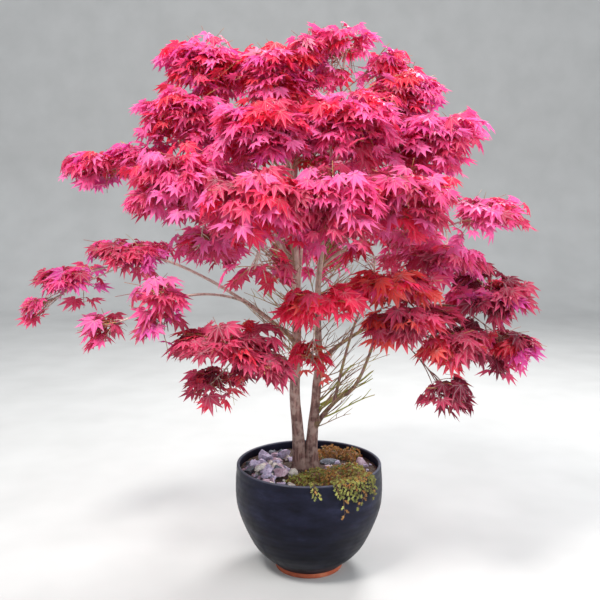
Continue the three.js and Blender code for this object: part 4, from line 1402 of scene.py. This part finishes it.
def build_rocks():
    kinds = {kind: stone_material(f"stone_{kind}", codes) for kind, codes in STONE_KINDS.items()}
    for name, (azimuth, reach, width, depth, height, seed, kind) in ROCKS.items():
        centre = polar(azimuth, reach, SOIL_LEVEL + ROCK_RISE * height)
        halves = np.array([width / 2, depth / 2, height * ROCK_HALF_HEIGHT])
        mesh_object(f"stone_{name}", *stone_mesh(centre, halves, seed), kinds[kind], "stone",
                    smooth=False, replaces=[name])
    build_gravel(kinds)


def build_gravel(kinds):
    """Loose angular gravel on the soil, heaped in larger stones to the left of the stems."""
    random = np.random.default_rng(GRAVEL_SEED)
    parts = {kind: [] for kind in kinds}
    for count, azimuths, reaches, sizes, lift in GRAVEL:
        inner, outer = (reach ** 2 for reach in reaches)
        placed = 0
        while placed < count:
            place = polar(random.uniform(*azimuths), math.sqrt(random.uniform(inner, outer)))
            size = random.uniform(*sizes)
            clear = np.linalg.norm(place[:2] - TRUNK_MIDDLE) >= TRUNK_SPACE + size
            if not clear or under_cushion(place, CUSHION_SPACE):
                continue
            kind = str(random.choice(GRAVEL_KINDS))
            halves = size * random.uniform(*GRAVEL_SPREAD, 3) * GRAVEL_HALVES
            rise = soil_height(place[0:1], place[1:2])[0] + lift + GRAVEL_RISE * halves[2]
            parts[kind].append(stone_mesh(place + (0, 0, rise), halves, int(random.integers(1e6)),
                                          GRAVEL_CORNERS, GRAVEL_BEVEL))
            placed += 1
    for kind, stones in parts.items():
        mesh_object(f"gravel_{kind}", *combined(stones), kinds[kind], "stone", smooth=False)


COVER_SEED = 17
COVER_BASE = SOIL_LEVEL - 4
# Fleshy leaves of the groundcover: colours by name, dark and pale
COVER_TINTS = {"olive": ("5a5e28", "9a9a4c"), "rust": ("7c5228", "c2924e"), "lime": ("848638", "bcbc6c")}
COVER_STEMS = ("4a3422", "6e4c30", "8c6a48")
# Cushions: azimuth, reach, radius, height, and how often each one deals out each tint
CUSHIONS = {
    "front": [((284, 92, 54, 28), {"olive": 6, "lime": 2, "rust": 1}),
              ((318, 118, 54, 32), {"rust": 5, "olive": 3}),
              ((296, 180, 46, 40), {"rust": 5, "lime": 2, "olive": 2}),
              ((325, 190, 44, 38), {"lime": 5, "olive": 3, "rust": 2}),
              ((350, 150, 46, 28), {"lime": 3, "olive": 3, "rust": 3}),
              ((256, 134, 42, 22), {"lime": 4, "olive": 4, "rust": 1})],
    "back": [((62, 172, 50, 34), {"rust": 6, "olive": 1}),
             ((38, 190, 44, 36), {"rust": 6, "olive": 1}),
             ((80, 128, 42, 28), {"rust": 6, "olive": 1})],
}
# Shares of a cushion's radius and height that the mound of stems under it fills
MOUND = (0.84, 0.8)
MOUND_WOBBLE = 0.12
# Share of the dome that rosettes cover, how far out they lie and the spread, and their twist
DOME_COVER = 0.97
DOME_SWELL = (0.86, 0.16)
DOME_TWIST = 0.3
# Square millimetres for each rosette, its size, and how far apart the rosettes turn
ROSETTE_AREA = 22
ROSETTE_BUDS = 7
ROSETTE_SIZE = 8
ROSETTE_TURN = 2.39996
# Buds of a rosette: turn from one to the next, lean of the first, and how much the lean grows
BUD_TURN = 2.4
BUD_LEAN = (0.35, 0.75)
# Shares of the rosette's size: a bud's half width, and its length from least to most
BUD_WIDTH = 0.24
BUD_LENGTH = (0.8, 1.2)
BUD_TWIST = (0, 0.5)
# Strands over the rim: azimuth, and how far they hang
STRANDS = [(273, 26), (289, 30), (293, 94), (297, 44), (301, 40), (304, 76), (308, 62), (312, 38),
           (318, 40), (321, 64)]
STRAND_TINTS = ["olive", "olive", "lime", "rust"]
STRAND_RADII = (1.6, 0.9)
STRAND_OFF_WALL = 10
# Side sprigs of a strand: spacing, length, radii, and rosettes by place and size
SPRIG_SPACING = 7
SPRIG_REACH = (10, 19)
SPRIG_RADII = (0.8, 0.5)
SPRIG_ROSETTES = (0.35, 0.6, 0.8, 1.0)
SPRIG_ROSETTE_SIZE = 6.5
SPRIG_BUDS = 4
# A sprig's direction: the strand's in it, and least and most of the side's and of the outward one
SPRIG_KEEPS = 0.7
SPRIG_SIDE = (0.5, 1.1)
SPRIG_OUT = (0.05, 0.5)
# Sprigs shorten along the strand
SPRIG_TAPER = (1.15, 0.4)
# Rings and sides of the tubes of strands and sprigs
STRAND_TUBE = (6, 4)


def under_cushion(place, margin):
    return any(np.linalg.norm((place - polar(azimuth, reach))[:2]) < radius * margin
               for cushions in CUSHIONS.values() for (azimuth, reach, radius, _), _ in cushions)


def bud(centre, axis, length, width):
    """A small pointed fleshy leaf: two pyramids on a ring of four points."""
    axis = unit(axis)
    side = unit(np.cross(axis, (0.31, 0.17, 0.93)) + 1e-6)
    third = np.cross(axis, side)
    ring = [centre + 0.45 * length * axis + width * (side * c + 0.7 * third * s)
            for c, s in ((1, 0), (0, 1), (-1, 0), (0, -1))]
    vertices = np.array([centre, *ring, centre + length * axis])
    edges = ((1, 2), (2, 3), (3, 4), (4, 1))
    faces = [(0, b, a) for a, b in edges] + [(5, a, b) for a, b in edges]
    return vertices, [np.array(faces)]


def rosette(centre, axis, size, random, buds=ROSETTE_BUDS):
    """A tuft of buds round an axis."""
    axis = unit(axis)
    side = unit(np.cross(axis, (0.6, 0.2, 0.31)) + 1e-6)
    third = np.cross(axis, side)
    parts = []
    for i in range(buds):
        turn = i * BUD_TURN + random.uniform(*BUD_TWIST)
        lean = BUD_LEAN[0] + BUD_LEAN[1] * (i / buds)
        way = axis * math.cos(lean) + (side * math.cos(turn) + third * math.sin(turn)) * math.sin(lean)
        parts.append(bud(centre, way, size * random.uniform(*BUD_LENGTH), size * BUD_WIDTH))
    return parts


def cushion_parts(row, deal, random):
    """A cushion's rosettes, thick on a rough dome, by their tints."""
    azimuth, reach, radius, height = row
    centre = polar(azimuth, reach, COVER_BASE)
    chances = np.array(list(deal.values())) / sum(deal.values())
    parts = {tint: [] for tint in COVER_TINTS}
    count = int(radius * radius / ROSETTE_AREA)
    for i in range(count):
        slope = math.acos(1 - (i + 0.5) / count * DOME_COVER)
        turn = i * ROSETTE_TURN + random.uniform(-DOME_TWIST, DOME_TWIST)
        across = math.sin(slope)
        way = np.array([across * math.cos(turn), across * math.sin(turn), math.cos(slope)])
        swell = DOME_SWELL[0] + DOME_SWELL[1] * random.uniform(-1, 1)
        place = centre + way * (radius * swell, radius * swell, (height + 2) * swell)
        tint = random.choice(list(deal), p=chances)
        parts[tint] += rosette(place, way + (0, 0, 0.5), ROSETTE_SIZE, random)
    return parts


def mound(azimuth, reach, radius, height):
    """The dark stems under a cushion."""
    arc = np.linspace(0, 1, 9)[:-1] * math.pi / 2
    vertices, faces = turned([(0, 0), *zip(np.cos(arc), np.sin(arc)), (0, 1)], 20)
    wobble = 1 + MOUND_WOBBLE * lattice_noise(vertices * 3 + 5, azimuth)[:, None]
    size = (radius * MOUND[0], radius * MOUND[0], height * MOUND[1])
    return vertices * size * wobble + polar(azimuth, reach, COVER_BASE), faces


def strand_curve(azimuth, drop):
    """A stem that rises from the soil, lies over the rim and hangs down the wall."""
    wall = POT_BELLY_RADIUS + STRAND_OFF_WALL
    over = POT_HEIGHT + STRAND_OFF_WALL
    return Spline([polar(azimuth, POT_RIM_RADIUS - 50, SOIL_LEVEL + 22),
                   polar(azimuth, POT_RIM_RADIUS - 22, over - 2),
                   polar(azimuth, POT_RIM_RADIUS + 2, over + 1),
                   polar(azimuth, wall, POT_HEIGHT - 8),
                   polar(azimuth + 2, wall + 1, POT_HEIGHT - drop)])


def strand_parts(curve, random):
    """A trailing stem with short leafy side sprigs on either side of it."""
    count = int(curve.length() / SPRIG_SPACING)
    parts = {tint: [] for tint in COVER_TINTS}
    sprigs = []
    for i in range(2, count + 1):
        share = i / count
        place, along = curve.at(share)
        outwards = unit(place * LEVEL)
        across = unit(np.cross(along, outwards)) * (1 if i % 2 else -1)
        aside = across * random.uniform(*SPRIG_SIDE)
        way = unit(SPRIG_KEEPS * along + aside + outwards * random.uniform(*SPRIG_OUT))
        shorter = SPRIG_TAPER[0] - SPRIG_TAPER[1] * share
        end = place + way * random.uniform(*SPRIG_REACH) * shorter - (0, 0, 2)
        sprig = Bezier(place, place + way * 4, place + way * 8 + outwards, end)
        sprigs.append(sprig)
        tint = str(random.choice(STRAND_TINTS))
        for step in SPRIG_ROSETTES:
            middle, axis = sprig.at(step)
            axis = axis + random.normal(0, 0.3, 3)
            parts[tint] += rosette(middle, axis, SPRIG_ROSETTE_SIZE, random, SPRIG_BUDS)
    radii = [STRAND_RADII] + [SPRIG_RADII] * len(sprigs)
    parts["stem"] = [twig_tubes([curve, *sprigs], radii, *STRAND_TUBE)]
    return parts


def build_groundcover():
    random = np.random.default_rng(COVER_SEED)
    materials = {tint: groundcover_material(f"cover_{tint}", codes) for tint, codes in COVER_TINTS.items()}
    materials["stem"] = stone_material("cover_stems", COVER_STEMS)
    for side, cushions in CUSHIONS.items():
        grown = []
        for row, deal in cushions:
            grown += [cushion_parts(row, deal, random), {"stem": [mound(*row)]}]
        for azimuth, drop in STRANDS if side == "front" else ():
            grown.append(strand_parts(strand_curve(azimuth, drop), random))
        for tint, material in materials.items():
            pieces = [piece for parts in grown for piece in parts.get(tint, ())]
            if pieces:
                mesh_object(f"cover_{side}_{tint}", *combined(pieces), material, "groundcover",
                            smooth=tint == "stem", replaces=[f"groundcover_{side}"])


# Studio, in metres

FOCAL_PIXELS = 780
PICTURE_SIDE = 600
SENSOR = 36
CAMERA_PLACE = (-0.031, -2.619, 1.259)
CAMERA_PITCH = 7.04
# The floor runs back, bends up and ends in a wall: its front, back, half width, bend and height
FLOOR_FRONT = -9.0
FLOOR_BACK = 6.0
FLOOR_WIDE = 30.0
FLOOR_BEND = 2.0
FLOOR_HIGH = 9.0
# Lights: place, aim, size, power, colour
LIGHTS = {
    "key": ((-1.6, -2.4, 4.8), (0, 0, 1.3), 1.2, 262, (1, 0.98, 0.95)),
    "fill": ((3.4, -2.2, 2.2), (0, 0, 1.2), 2.6, 105, (0.95, 0.97, 1)),
    "back": ((1.4, 2.8, 4.2), (0, 0, 1.5), 1.6, 245, (1, 1, 1)),
}
WORLD_COLOR = (0.9, 0.95, 1, 1)
WORLD_STRENGTH = 0.95


def build_camera():
    data = bpy.data.cameras.new("camera")
    data.sensor_width = SENSOR
    data.lens = FOCAL_PIXELS / PICTURE_SIDE * SENSOR
    camera = in_scene("camera", data)
    camera.location = CAMERA_PLACE
    camera.rotation_euler = (math.radians(90 - CAMERA_PITCH), 0, 0)
    bpy.context.scene.camera = camera


def build_floor():
    """A pale floor that curves up into a pale wall behind."""
    turn = np.radians(np.linspace(0, 90, 13))
    profile = [(FLOOR_FRONT, 0.0)]
    profile += [(FLOOR_BACK + FLOOR_BEND * math.sin(a), FLOOR_BEND - FLOOR_BEND * math.cos(a)) for a in turn]
    profile.append((FLOOR_BACK + FLOOR_BEND, FLOOR_HIGH))
    vertices = [(x, y, z) for x in (-FLOOR_WIDE, FLOOR_WIDE) for y, z in profile]
    count = len(profile)
    faces = [(i, i + count, i + count + 1, i + 1) for i in range(count - 1)]
    mesh = bpy.data.meshes.new("floor")
    mesh.from_pydata(vertices, [], faces)
    mesh.polygons.foreach_set("use_smooth", [True] * len(mesh.polygons))
    mesh.materials.append(floor_material())
    in_scene("floor", mesh)


def area_light(name, place, aim, size, power, color):
    data = bpy.data.lights.new(name, "AREA")
    data.shape = "DISK"
    data.size = size
    data.energy = power
    data.color = color
    light = in_scene(name, data)
    light.location = place
    light.rotation_euler = (Vector(aim) - Vector(place)).to_track_quat("-Z", "Y").to_euler()


def build_studio():
    build_floor()
    build_camera()
    for name, values in LIGHTS.items():
        area_light(name, *values)
    world = bpy.data.worlds.new("studio")
    world.use_nodes = True
    background = world.node_tree.nodes["Background"]
    background.inputs["Color"].default_value = WORLD_COLOR
    background.inputs["Strength"].default_value = WORLD_STRENGTH
    bpy.context.scene.world = world
    bpy.context.scene.view_settings.view_transform = "Standard"


limbs, masses = grow_limbs()
build_pot()
build_soil()
build_rocks()
build_groundcover()
build_wood(limbs)
build_foliage(limbs, masses)
build_studio()
